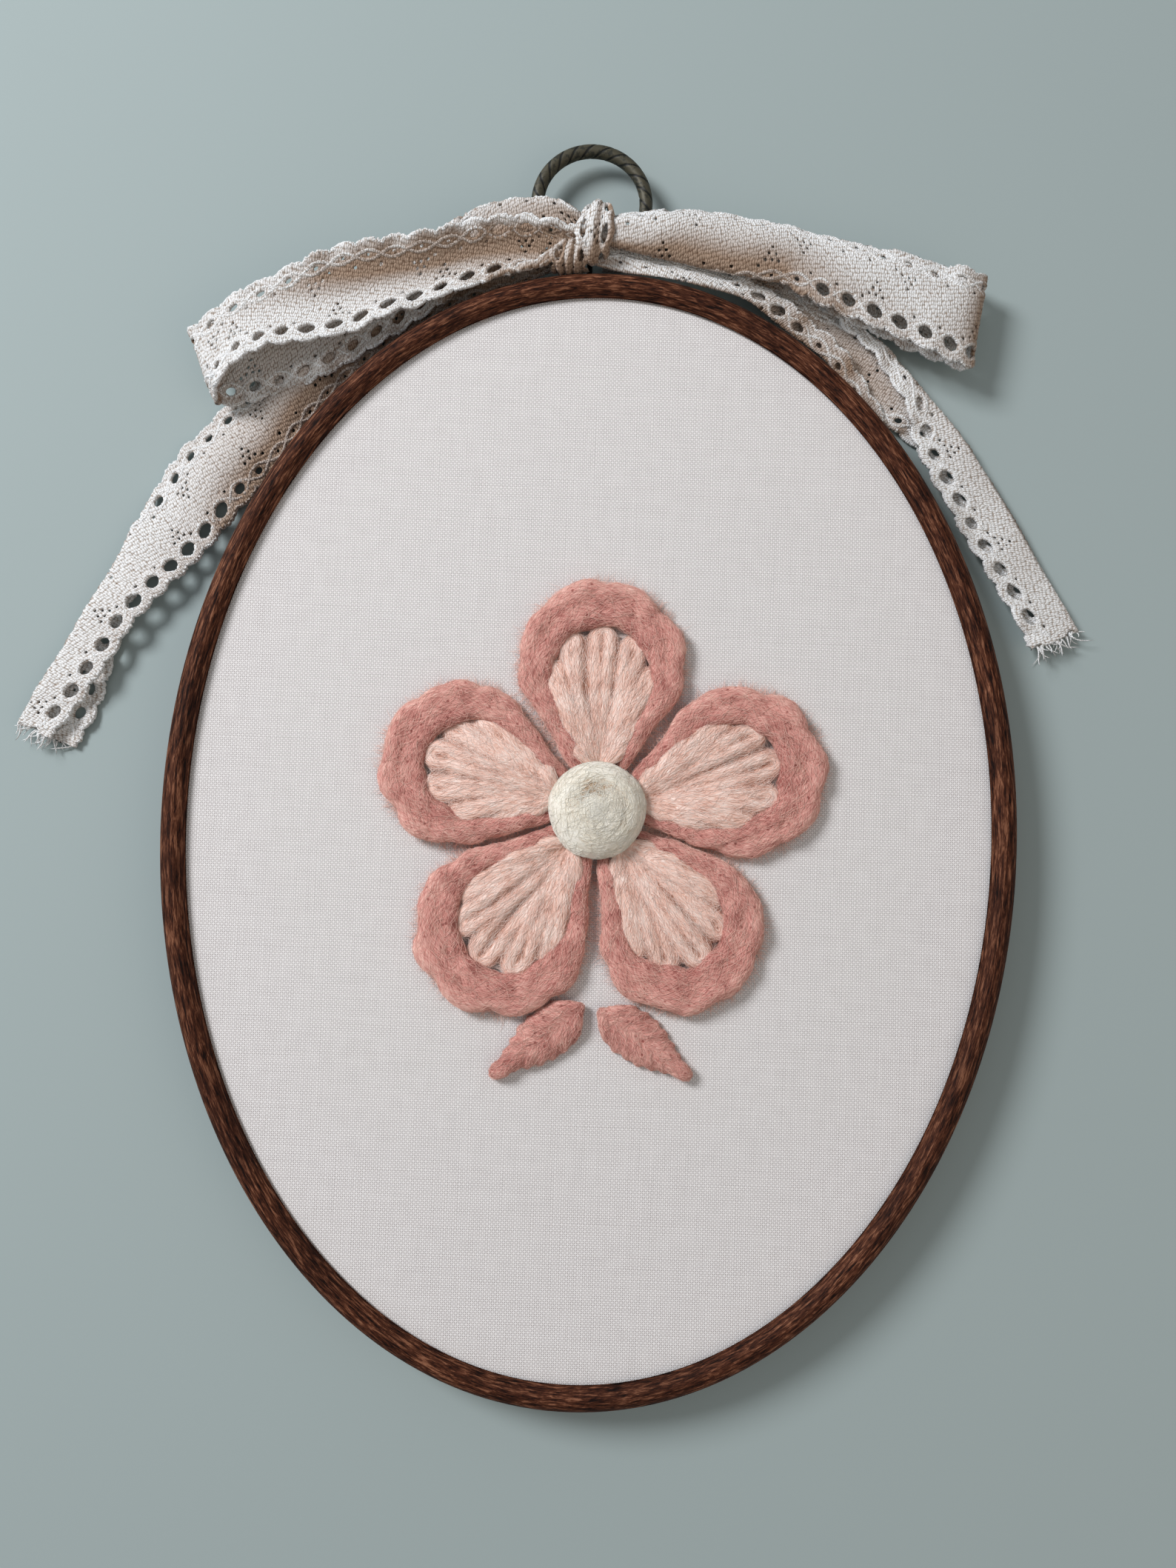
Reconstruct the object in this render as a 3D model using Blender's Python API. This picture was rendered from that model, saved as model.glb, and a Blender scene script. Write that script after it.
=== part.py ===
"""Embroidery hoop art: an oval wood-look hoop with a wool flower stitched on its cloth,
a twisted bronze hanging ring, and one length of cotton lace tied in a bow on that ring.

The hoop lies on its back on the plane z = 0. +Y runs towards the ring, +Z towards the viewer.
Sizes below are in millimetres on the drawing and are turned to metres where meshes are made.
"""

import math

import bmesh
import bpy
import numpy as np
from mathutils import Matrix, Vector

MM = 0.001
GAP = 0.3                       # between pieces that touch on the real object

# The oval that every hoop section is measured from: the inner edge of the front bead.
OVAL_HALF_WIDTH = 81.0
OVAL_HALF_HEIGHT = 109.3
OVAL_STEPS = 80

# Outer hoop: a flexible band with a rounded bead that laps over the cloth.
BEAD_WIDTH = 5.3
HOOP_DEPTH = 11.0
BAND_THICKNESS = 2.7
BEAD_LIP = 8.6                  # height of the bead's underside

# Cloth, drawn drum-tight over the inner hoop and turned down between the two hoops.
CLOTH_THICKNESS = 1.0
CLOTH_TOP = BEAD_LIP - GAP
CLOTH_HEM = 0.6                 # height of the cut edge above the surface
CLOTH_CORNER = 1.4

# Inner hoop: a plain flat band.
INNER_HOOP_THICKNESS = 3.0

# Hanging ring, twisted like a rope, and the screw eye that holds it.
RING_X = -3.8
RING_Y = 132.0
RING_Z = 4.5
RING_RADIUS = 11.5              # to the middle of its bar
RING_BAR = 1.4
RING_STRANDS = 3
RING_TWISTS = 5
RING_STEPS = 75
EYE_RADIUS = 2.35
EYE_WIRE = 0.6
EYE_DRILL_DEPTH = 1.6

# Lace of the bow.
LACE_THICKNESS = 1.0
LACE_STEP = 4.2                 # length of a facet along the lace
LACE_FACETS = 6                 # facets across it
PLEATS = 3                      # gathers across the lace where it enters the knot

# The wool flower.
WOOL_BASE = CLOTH_TOP + GAP
FLOWER_X = 1.5
FLOWER_Y = 3.0
PETALS = 5
PETAL_REACH = 46.0              # from the flower's centre to a petal's tip
PETAL_ROOT = 12.5               # where a petal starts
PETAL_OPENING = 33.5            # degrees from a petal's middle line to its straight side
PETAL_EDGE_WIDTH = 8.6          # the dusty pink band at the petal's end
PETAL_EDGE_NARROW = 3.4         # and by its root
PETAL_EDGE_HEIGHT = 3.6
HEART_HEIGHT = 3.0
HEART_LOOPS = 7                 # looped stitches in the heart of a petal
BALL_RADIUS = 10.0
BALL_HEIGHT = 8.6


def clear_scene():
    for thing in list(bpy.data.objects):
        bpy.data.objects.remove(thing, do_unlink=True)


def finish(name, colour, roughness, metallic=0.0):
    """A plain material in a piece's own colour."""
    material = bpy.data.materials.new(name)
    material.use_nodes = True
    shader = material.node_tree.nodes["Principled BSDF"]
    shader.inputs["Base Color"].default_value = (*colour, 1.0)
    shader.inputs["Roughness"].default_value = roughness
    shader.inputs["Metallic"].default_value = metallic
    return material


def add_piece(name, bm, material):
    """Makes a named object of a mesh drawn in millimetres."""
    bmesh.ops.remove_doubles(bm, verts=bm.verts, dist=0.001)
    bmesh.ops.recalc_face_normals(bm, faces=bm.faces)
    bmesh.ops.scale(bm, vec=(MM, MM, MM), verts=bm.verts)
    mesh = bpy.data.meshes.new(name)
    bm.to_mesh(mesh)
    bm.free()
    mesh.materials.append(material)
    mesh.shade_smooth()
    mesh.set_sharp_from_angle(angle=math.radians(50))
    piece = bpy.data.objects.new(name, mesh)
    bpy.context.scene.collection.objects.link(piece)
    return piece


def hide_tool(piece):
    """Marks an object that only cuts or joins another."""
    piece.hide_render = True
    piece.display_type = "WIRE"


def combine(piece, other, operation):
    modifier = piece.modifiers.new(operation.title() + "_" + other.name, "BOOLEAN")
    modifier.operation = operation
    modifier.object = other
    modifier.solver = "EXACT"
    hide_tool(other)


def bridge_rings(bm, rings, closed=False):
    """Joins rings of points, all with the same count, by quads."""
    pairs = list(zip(rings, rings[1:]))
    if closed:
        pairs.append((rings[-1], rings[0]))
    for lower, upper in pairs:
        count = len(lower)
        for k in range(count):
            bm.faces.new((lower[k], lower[(k + 1) % count], upper[(k + 1) % count], upper[k]))


def cap_ring(bm, ring, centre):
    """Closes a ring of points by a fan round a centre point."""
    pole = bm.verts.new(centre)
    for k in range(len(ring)):
        bm.faces.new((ring[k], ring[(k + 1) % len(ring)], pole))


# The oval

def oval_point(angle, offset=0.0, share=1.0):
    """A point offset outwards from the oval, or on a smaller copy of it."""
    x = OVAL_HALF_WIDTH * math.cos(angle)
    y = OVAL_HALF_HEIGHT * math.sin(angle)
    nx = OVAL_HALF_HEIGHT * math.cos(angle)
    ny = OVAL_HALF_WIDTH * math.sin(angle)
    length = math.hypot(nx, ny)
    return x * share + offset * nx / length, y * share + offset * ny / length


def oval_ring(bm, z, offset=0.0, share=1.0):
    ring = []
    for k in range(OVAL_STEPS):
        angle = 2 * math.pi * k / OVAL_STEPS
        x, y = oval_point(angle, offset, share)
        ring.append(bm.verts.new((x, y, z)))
    return ring


def add_outer_hoop(material):
    """A band with a full round bead on its front, the lip of which covers the cloth's corner."""
    wall = BEAD_WIDTH - BAND_THICKNESS
    section = [(wall, 0.0), (BEAD_WIDTH - 0.5, 0.0), (BEAD_WIDTH - 0.1, 0.6), (BEAD_WIDTH, 7.6)]
    # The bead's crown, from its outer side over to the lip.
    crown_base = 8.0
    for degrees in (25, 55, 90, 125, 155):
        turn = math.radians(degrees)
        section.append((BEAD_WIDTH / 2 * (1 + math.cos(turn)),
                        crown_base + (HOOP_DEPTH - crown_base) * math.sin(turn)))
    section += [(0.0, BEAD_LIP + 0.35), (0.3, BEAD_LIP), (wall, BEAD_LIP)]
    bm = bmesh.new()
    bridge_rings(bm, [oval_ring(bm, z, offset) for offset, z in section], closed=True)
    return add_piece("outer_hoop", bm, material)


def add_inner_hoop(material):
    outer = BEAD_WIDTH - BAND_THICKNESS - 2 * GAP - CLOTH_THICKNESS
    inner = outer - INNER_HOOP_THICKNESS
    top = CLOTH_TOP - CLOTH_THICKNESS - GAP
    section = [(inner, 0.0), (outer, 0.0), (outer, top - 0.9), (outer - 0.9, top), (inner, top)]
    bm = bmesh.new()
    bridge_rings(bm, [oval_ring(bm, z, offset) for offset, z in section], closed=True)
    return add_piece("inner_hoop", bm, material)


def add_cloth(material):
    """A flat face, a rounded corner over the inner hoop and a turned-down edge."""
    outside = BEAD_WIDTH - BAND_THICKNESS - GAP
    inside = outside - CLOTH_THICKNESS
    floor = CLOTH_TOP - CLOTH_THICKNESS
    soft = CLOTH_CORNER - CLOTH_THICKNESS
    bm = bmesh.new()
    rings = [oval_ring(bm, CLOTH_TOP, share=share) for share in (0.4, 0.8)]
    rings.append(oval_ring(bm, CLOTH_TOP, outside - CLOTH_CORNER))
    rings.append(oval_ring(bm, CLOTH_TOP - 0.45, outside - 0.4))
    rings.append(oval_ring(bm, CLOTH_TOP - CLOTH_CORNER, outside))
    rings.append(oval_ring(bm, CLOTH_HEM, outside))
    rings.append(oval_ring(bm, CLOTH_HEM, inside))
    rings.append(oval_ring(bm, floor - soft, inside))
    rings.append(oval_ring(bm, floor, inside - soft))
    rings += [oval_ring(bm, floor, share=share) for share in (0.8, 0.4)]
    bridge_rings(bm, rings)
    cap_ring(bm, rings[0], (0, 0, CLOTH_TOP))
    cap_ring(bm, rings[-1], (0, 0, floor))
    return add_piece("cloth", bm, material)


# The hanging ring and its eye

def add_hanging_ring(material):
    """A round bar of three strands laid up like a rope, bent to a ring."""
    sides = 8
    bm = bmesh.new()
    rings = []
    for k in range(RING_STEPS):
        angle = 2 * math.pi * k / RING_STEPS
        ring = []
        for s in range(sides):
            turn = 2 * math.pi * s / sides
            lay = RING_STRANDS * turn + RING_STRANDS * RING_TWISTS * angle
            bar = RING_BAR * (0.91 + 0.09 * math.cos(lay))
            out = RING_RADIUS + bar * math.cos(turn)
            ring.append(bm.verts.new((RING_X + out * math.cos(angle), RING_Y + out * math.sin(angle),
                                      RING_Z + bar * math.sin(turn))))
        rings.append(ring)
    bridge_rings(bm, rings, closed=True)
    return add_piece("hanging_ring", bm, material)


def add_ring_eye(material, hoop):
    """A small screw eye round the ring's bar, its shank in a drilled hole of the outer hoop."""
    hoop_top = oval_point(math.pi / 2 - RING_X / OVAL_HALF_WIDTH, BEAD_WIDTH)[1]
    eye_y = RING_Y - RING_RADIUS - EYE_RADIUS + EYE_WIRE + RING_BAR + GAP + 0.1
    shank_end = hoop_top - EYE_DRILL_DEPTH + GAP
    # The loop stands across the ring's bar.
    bm = bmesh.new()
    rings = []
    for k in range(20):
        angle = 2 * math.pi * k / 20
        ring = []
        for s in range(8):
            turn = 2 * math.pi * s / 8
            out = EYE_RADIUS + EYE_WIRE * math.cos(turn)
            ring.append(bm.verts.new((RING_X + EYE_WIRE * math.sin(turn), eye_y + out * math.cos(angle),
                                      RING_Z + out * math.sin(angle))))
        rings.append(ring)
    bridge_rings(bm, rings, closed=True)
    eye = add_piece("ring_eye", bm, material)

    def add_rod(name, radius, start, end):
        rod = bmesh.new()
        turned = Matrix.Rotation(math.pi / 2, 4, "X")
        place = Matrix.Translation((RING_X, (start + end) / 2, RING_Z)) @ turned
        bmesh.ops.create_cone(rod, cap_ends=True, segments=10, radius1=radius, radius2=radius,
                              depth=end - start, matrix=place)
        return add_piece(name, rod, material)

    combine(eye, add_rod("eye_shank", EYE_WIRE, shank_end, eye_y - EYE_RADIUS + 0.1), "UNION")
    combine(hoop, add_rod("eye_drill", EYE_WIRE + GAP, hoop_top - EYE_DRILL_DEPTH, hoop_top + 2.0), "DIFFERENCE")
    return eye


# The lace bow. Each run of lace is a table of sections. A section goes from the upper edge over
# the crest of its bow or fold to the lower edge. Pleat is the height of the gathers across it.

RUN_COLUMNS = ("upper_x", "upper_y", "upper_z", "crest_x", "crest_y", "crest_z",
               "lower_x", "lower_y", "lower_z", "pleat")

LEFT_LOOP = (
    (-3.0, 122.5, 12.0, -3.0, 124.5, 11.0, -3.0, 119.5, 10.6, 0.2),
    (-6.5, 123.0, 13.2, -6.5, 126.8, 11.2, -6.5, 118.0, 10.4, 0.4),
    (-11.0, 122.0, 13.8, -11.0, 128.6, 11.2, -11.0, 115.6, 10.2, 0.4),
    (-18.5, 122.0, 13.8, -18.0, 128.6, 11.4, -19.0, 112.8, 10.4, 0.2),
    (-26.0, 121.4, 13.4, -26.0, 126.2, 11.6, -27.0, 109.8, 11.0, 0.0),
    (-34.0, 120.8, 12.8, -34.5, 122.8, 11.2, -35.5, 106.6, 11.4, 0.0),
    (-44.0, 119.4, 12.8, -44.0, 111.0, 9.4, -44.5, 103.0, 12.0, 0.0),
    (-55.0, 117.0, 12.2, -55.5, 107.2, 9.6, -56.0, 97.8, 12.2, 0.0),
    (-66.0, 112.2, 10.4, -66.0, 103.6, 10.4, -66.0, 96.0, 13.2, 0.0),
    (-77.0, 106.4, 9.8, -75.8, 99.4, 11.2, -74.0, 93.2, 12.8, 0.0),
    (-83.5, 101.6, 9.4, -82.4, 95.0, 10.2, -79.0, 88.2, 10.4, 0.0),
    (-86.2, 99.6, 7.6, -86.0, 93.4, 6.8, -81.2, 86.0, 6.4, 0.0),
    (-83.5, 101.8, 5.6, -82.6, 94.6, 4.6, -79.0, 86.2, 3.8, 0.0),
    (-75.0, 106.6, 5.8, -74.0, 98.0, 4.6, -71.5, 88.4, 3.6, 0.0),
    (-64.5, 111.0, 6.4, -63.5, 102.0, 4.8, -61.5, 92.4, 3.8, 0.0),
    (-53.0, 115.0, 7.0, -52.0, 106.4, 5.2, -50.5, 97.8, 4.4, 0.0),
    (-41.0, 119.0, 7.2, -40.5, 111.6, 6.0, -39.5, 104.4, 5.6, 0.1),
    (-27.5, 122.0, 7.8, -27.0, 117.0, 7.2, -26.5, 111.8, 7.2, 0.3),
    (-14.0, 123.6, 8.4, -14.0, 120.2, 8.0, -14.0, 116.8, 8.2, 0.4),
    (-3.0, 122.4, 9.2, -3.0, 120.8, 9.0, -3.0, 119.2, 9.2, 0.2),
)

LEFT_TAIL = (
    (-3.4, 120.2, 8.8, -3.4, 118.8, 9.8, -3.4, 117.6, 9.0, 0.2),
    (-8.5, 118.8, 7.6, -9.0, 117.2, 9.2, -8.5, 116.2, 7.0, 0.3),
    (-14.0, 119.6, 4.8, -14.5, 116.8, 6.6, -14.0, 115.6, 4.8, 0.3),
    (-22.0, 121.0, 2.2, -22.0, 117.2, 3.6, -22.0, 113.2, 2.8, 0.3),
    (-35.0, 120.6, 1.4, -34.4, 114.4, 2.2, -33.6, 108.4, 2.4, 0.1),
    (-51.5, 112.2, 1.2, -49.6, 106.0, 1.6, -47.2, 99.2, 2.6, 0.0),
    (-66.5, 100.4, 1.2, -63.6, 94.6, 1.6, -59.8, 87.4, 2.6, 0.0),
    (-79.0, 87.6, 1.1, -74.6, 82.6, 1.6, -68.8, 76.0, 2.8, 0.0),
    (-86.6, 78.4, 1.0, -81.4, 74.0, 1.9, -75.0, 67.4, 2.8, 0.0),
    (-93.0, 69.2, 1.0, -88.4, 66.2, 2.2, -80.6, 57.4, 3.0, 0.0),
    (-95.0, 59.4, 0.9, -97.0, 61.0, 2.2, -85.4, 51.0, 3.6, 0.0),
    (-95.4, 50.0, 0.9, -100.8, 52.0, 2.2, -90.8, 45.8, 3.8, 0.0),
    (-97.0, 41.2, 0.8, -105.2, 42.8, 2.1, -96.6, 38.8, 3.6, 0.0),
    (-100.8, 31.0, 0.8, -110.6, 31.8, 2.0, -102.8, 28.6, 3.3, 0.0),
    (-103.0, 23.0, 0.8, -114.6, 23.8, 1.9, -107.6, 21.4, 3.0, 0.0),
    (-105.4, 16.6, 0.8, -118.0, 16.8, 1.8, -112.4, 14.6, 2.7, 0.0),
)

RIGHT_LOOP = (
    (-2.5, 122.6, 10.2, -2.5, 122.2, 12.2, -2.5, 119.8, 11.2, 0.2),
    (1.5, 126.0, 10.4, 1.5, 123.0, 12.8, 1.5, 119.8, 11.4, 0.4),
    (6.0, 127.4, 10.2, 6.0, 123.6, 13.4, 6.0, 118.8, 11.4, 0.4),
    (12.0, 127.8, 9.6, 12.0, 123.4, 13.6, 12.0, 117.6, 10.8, 0.3),
    (21.0, 127.8, 8.8, 21.0, 122.8, 13.8, 21.0, 115.4, 10.2, 0.1),
    (32.0, 126.8, 8.8, 32.0, 121.0, 13.4, 32.0, 111.8, 10.0, 0.0),
    (44.0, 124.6, 9.4, 44.0, 117.6, 12.4, 44.0, 108.0, 9.6, 0.0),
    (56.0, 122.2, 10.2, 56.0, 114.2, 11.6, 56.0, 105.0, 9.6, 0.0),
    (66.0, 119.6, 10.4, 66.0, 111.0, 11.0, 66.0, 101.6, 9.8, 0.0),
    (74.5, 118.2, 9.8, 74.0, 109.2, 10.0, 73.0, 99.4, 9.4, 0.0),
    (79.2, 118.4, 7.4, 78.4, 109.4, 6.8, 76.6, 99.4, 6.6, 0.0),
    (75.5, 120.2, 4.6, 75.0, 111.0, 3.8, 74.0, 101.4, 3.8, 0.0),
    (63.0, 122.6, 4.2, 62.2, 114.0, 3.4, 61.2, 105.2, 3.8, 0.0),
    (49.0, 125.4, 4.2, 48.4, 118.0, 3.6, 47.6, 110.4, 4.2, 0.0),
    (34.0, 127.2, 5.0, 34.0, 121.4, 4.6, 34.0, 116.0, 5.2, 0.1),
    (20.0, 126.8, 6.4, 20.0, 122.6, 6.2, 20.0, 118.6, 6.6, 0.3),
    (8.0, 125.0, 8.4, 8.0, 122.4, 8.2, 8.0, 119.8, 8.6, 0.4),
    (-2.5, 123.2, 9.2, -2.5, 121.6, 9.0, -2.5, 120.0, 9.2, 0.2),
)

RIGHT_TAIL = (
    (-2.5, 119.6, 10.2, -2.5, 118.0, 9.2, -2.5, 119.2, 8.4, 0.1),
    (4.5, 118.4, 10.2, 4.5, 115.8, 8.8, 4.5, 118.2, 6.8, 0.2),
    (14.0, 117.4, 9.8, 14.0, 114.8, 8.2, 14.0, 118.2, 5.8, 0.2),
    (24.0, 115.4, 9.2, 23.6, 112.3, 7.4, 25.0, 117.0, 4.6, 0.1),
    (35.0, 111.8, 8.2, 33.4, 108.0, 6.0, 37.0, 113.8, 3.2, 0.0),
    (44.5, 105.4, 7.4, 42.0, 103.0, 5.2, 48.4, 110.0, 2.8, 0.0),
    (52.0, 99.8, 6.8, 49.2, 97.4, 4.4, 56.8, 103.4, 2.8, 0.0),
    (58.0, 93.8, 6.2, 55.0, 92.4, 3.6, 63.0, 97.4, 3.4, 0.0),
    (61.4, 88.8, 4.6, 62.0, 91.4, 2.6, 65.6, 93.4, 5.0, 0.0),
    (64.4, 86.2, 2.0, 70.4, 91.0, 2.2, 65.8, 87.8, 5.2, 0.0),
    (69.4, 79.4, 1.0, 76.0, 83.2, 2.2, 67.6, 81.2, 4.8, 0.0),
    (75.4, 69.8, 0.9, 82.6, 73.0, 2.2, 72.8, 71.0, 4.4, 0.0),
    (81.8, 59.2, 0.9, 89.2, 61.8, 2.1, 79.2, 60.4, 4.2, 0.0),
    (87.8, 49.2, 0.8, 95.4, 51.8, 2.0, 85.4, 50.4, 3.8, 0.0),
    (93.4, 40.4, 0.8, 100.2, 43.8, 1.8, 90.8, 39.6, 3.0, 0.0),
)


def smooth_table(rows, spacing):
    """Reads a table of sections at even steps along a smooth curve through its rows."""
    keys = np.array(rows)
    fine = []
    for k in range(len(keys) - 1):
        before = keys[max(k - 1, 0)]
        after = keys[min(k + 2, len(keys) - 1)]
        start_slope = (keys[k + 1] - before) / 2
        end_slope = (after - keys[k]) / 2
        for t in np.linspace(0, 1, 13)[:-1]:
            fine.append((2 * t ** 3 - 3 * t ** 2 + 1) * keys[k] + (t ** 3 - 2 * t ** 2 + t) * start_slope
                        + (3 * t ** 2 - 2 * t ** 3) * keys[k + 1] + (t ** 3 - t ** 2) * end_slope)
    fine.append(keys[-1])
    fine = np.array(fine)
    middle = (fine[:, 0:3] + fine[:, 3:6] + fine[:, 6:9]) / 3
    length = np.concatenate([[0], np.cumsum(np.linalg.norm(np.diff(middle, axis=0), axis=1))])
    count = max(2, round(length[-1] / spacing)) + 1
    places = np.linspace(0, length[-1], count)
    return np.stack([np.interp(places, length, fine[:, c]) for c in range(len(RUN_COLUMNS))], axis=1)


def section_points(row, facets):
    """Points at even steps across one section, from its upper to its lower edge."""
    upper, crest, lower = row[0:3], row[3:6], row[6:9]
    rise = np.linalg.norm(crest - upper)
    fall = np.linalg.norm(lower - crest)
    at = min(max(rise / (rise + fall), 0.12), 0.88)
    handle = (crest - (1 - at) ** 2 * upper - at ** 2 * lower) / (2 * at * (1 - at))
    t = np.linspace(0, 1, 41)[:, None]
    curve = (1 - t) ** 2 * upper + 2 * t * (1 - t) * handle + t ** 2 * lower
    length = np.concatenate([[0], np.cumsum(np.linalg.norm(np.diff(curve, axis=0), axis=1))])
    places = np.linspace(0, length[-1], facets + 1)
    return np.stack([np.interp(places, length, curve[:, c]) for c in range(3)], axis=1)


def lace_grid(rows, spacing, facets):
    """The middle surface of a run of lace, with its gathers."""
    table = smooth_table(rows, spacing)
    grid = np.array([section_points(row, facets) for row in table])
    along = np.gradient(grid, axis=0)
    across = np.gradient(grid, axis=1)
    normal = np.cross(along, across)
    normal /= np.maximum(np.linalg.norm(normal, axis=2, keepdims=True), 1e-9)
    wave = np.sin(np.linspace(0, 2 * math.pi * PLEATS, facets + 1))
    return grid + normal * (table[:, 9, None] * wave[None, :])[:, :, None]


def add_lace_run(name, rows, material):
    grid = lace_grid(rows, LACE_STEP, LACE_FACETS)
    bm = bmesh.new()
    verts = [[bm.verts.new(point) for point in section] for section in grid]
    for near, far in zip(verts, verts[1:]):
        for k in range(len(near) - 1):
            bm.faces.new((near[k], near[k + 1], far[k + 1], far[k]))
    run = add_piece(name, bm, material)
    thicken = run.modifiers.new("Thickness", "SOLIDIFY")
    thicken.thickness = LACE_THICKNESS * MM
    thicken.offset = 0.0
    thicken.use_even_offset = False
    return run


KNOT_X = -2.8
KNOT_Y = 122.4
KNOT_Z = 10.7
KNOT_HALF = (3.1, 6.7, 3.1)
KNOT_FOLDS = 3                  # folds of the lace that wraps the knot


def add_knot(material):
    """A rounded wrap of gathered lace, its folds running up and over."""
    around, along = 18, 13
    bm = bmesh.new()
    rings = []
    for k in range(1, along):
        share = -math.cos(math.pi * k / along)
        # A squarer end than a ball's: the wrap is a short band.
        girth = (1 - abs(share) ** 3.2) ** (1 / 2.2)
        folds = 0.22 * math.cos(2 * math.pi * KNOT_FOLDS * (share + 1) / 2)
        ring = []
        for s in range(around):
            turn = 2 * math.pi * s / around
            y = KNOT_HALF[1] * girth * math.cos(turn)
            z = (KNOT_HALF[2] + folds) * girth * math.sin(turn)
            ring.append(bm.verts.new((KNOT_X + KNOT_HALF[0] * share, KNOT_Y + y, KNOT_Z + z)))
        rings.append(ring)
    bridge_rings(bm, rings)
    cap_ring(bm, rings[0], (KNOT_X - KNOT_HALF[0], KNOT_Y, KNOT_Z))
    cap_ring(bm, rings[-1], (KNOT_X + KNOT_HALF[0], KNOT_Y, KNOT_Z))
    return add_piece("lace_bow", bm, material)


SLING_X = 0.9
SLING_HALF_WIDTH = 2.0
SLING_HALF_Y = 3.6              # to the middle of the lace
SLING_HALF_Z = 3.5


def add_sling(material):
    """The turn of lace that goes round the ring's bar and holds the knot on it."""
    bar_y = RING_Y - math.sqrt(RING_RADIUS ** 2 - (SLING_X - RING_X) ** 2)
    half = LACE_THICKNESS / 2
    section = ((-SLING_HALF_WIDTH, -half), (SLING_HALF_WIDTH, -half),
               (SLING_HALF_WIDTH, half), (-SLING_HALF_WIDTH, half))
    bm = bmesh.new()
    rings = []
    for k in range(20):
        angle = 2 * math.pi * k / 20
        rings.append([bm.verts.new((SLING_X + side, bar_y + (SLING_HALF_Y + out) * math.cos(angle),
                                    RING_Z + (SLING_HALF_Z + out) * math.sin(angle)))
                      for side, out in section])
    bridge_rings(bm, rings, closed=True)
    return add_piece("bow_sling", bm, material)


def add_bow(material):
    """One length of lace: two loops and two tails joined in the knot."""
    bow = add_knot(material)
    for name, rows in (("bow_left_loop", LEFT_LOOP), ("bow_right_loop", RIGHT_LOOP),
                       ("bow_left_tail", LEFT_TAIL), ("bow_right_tail", RIGHT_TAIL)):
        combine(bow, add_lace_run(name, rows, material), "UNION")
    combine(bow, add_sling(material), "UNION")
    return bow


# The flower. A petal is a drop: two straight sides that open from its root, and a round end.

PETAL_COLUMNS = ("lean", "length")              # degrees off an even fifth, share of the full reach
PETAL_SHAPES = (
    (0.0, 1.0),
    (1.0, 0.97),
    (-0.8, 1.02),
    (0.9, 0.98),
    (-1.1, 1.01),
)


def petal_shape(index):
    return dict(zip(PETAL_COLUMNS, PETAL_SHAPES[index]))


def petal_place(index, out, side):
    """A point given along and across a petal, on the cloth."""
    lean = math.radians(90 + 360 / PETALS * index + petal_shape(index)["lean"])
    return Vector((FLOWER_X + out * math.cos(lean) - side * math.sin(lean),
                   FLOWER_Y + out * math.sin(lean) + side * math.cos(lean)))


def petal_edge_point(index, share, inset=0.0):
    """A point inside a petal's outline, which runs from one root (0) round the end to the other (1)."""
    reach = PETAL_REACH * petal_shape(index)["length"]
    opening = math.radians(PETAL_OPENING)
    radius = reach * math.sin(opening) / (1 + math.sin(opening))
    middle = reach - radius
    side_length = middle * math.cos(opening) - PETAL_ROOT
    half = side_length + radius * (math.pi / 2 + opening)
    walked = abs(2 * share - 1) * half          # from the tip back towards a root
    sign = 1 if share < 0.5 else -1
    turn = walked / radius
    if turn < math.pi / 2 + opening:
        out = middle + (radius - inset) * math.cos(turn)
        side = (radius - inset) * math.sin(turn)
    else:
        back = middle * math.cos(opening) - (walked - radius * (math.pi / 2 + opening))
        out = back * math.cos(opening) + inset * math.sin(opening)
        side = back * math.sin(opening) - inset * math.cos(opening)
    return petal_place(index, out, sign * side)


def petal_edge_width(share):
    """The pink band: one row of stitches by the root, two rows and more round the end."""
    return PETAL_EDGE_NARROW + (PETAL_EDGE_WIDTH - PETAL_EDGE_NARROW) * math.sin(math.pi * share) ** 1.5


def add_petal_edge(index, material):
    """The band of thick wool stitches round a petal, plump and a little uneven."""
    steps = 26
    bm = bmesh.new()
    rings = []
    for k in range(steps + 1):
        share = k / steps
        stitches = math.cos(2 * math.pi * share * 9 + index)
        outer = petal_edge_point(index, share, 0.3 - 0.3 * stitches * math.sin(math.pi * share))
        inner = petal_edge_point(index, share, petal_edge_width(share))
        plump = PETAL_EDGE_HEIGHT * (0.93 + 0.07 * stitches)
        ring = []
        for across, up in ((0.0, 0.0), (0.0, 0.35), (0.16, 0.85), (0.5, 1.0), (0.84, 0.85), (1.0, 0.35), (1.0, 0.0)):
            point = outer.lerp(inner, across)
            ring.append(bm.verts.new((point.x, point.y, WOOL_BASE + plump * up)))
        rings.append(ring)
    bridge_rings(bm, rings)
    bm.faces.new(rings[0])
    bm.faces.new(reversed(rings[-1]))
    return add_piece("petal_edge_%d" % (index + 1), bm, material)


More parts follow.
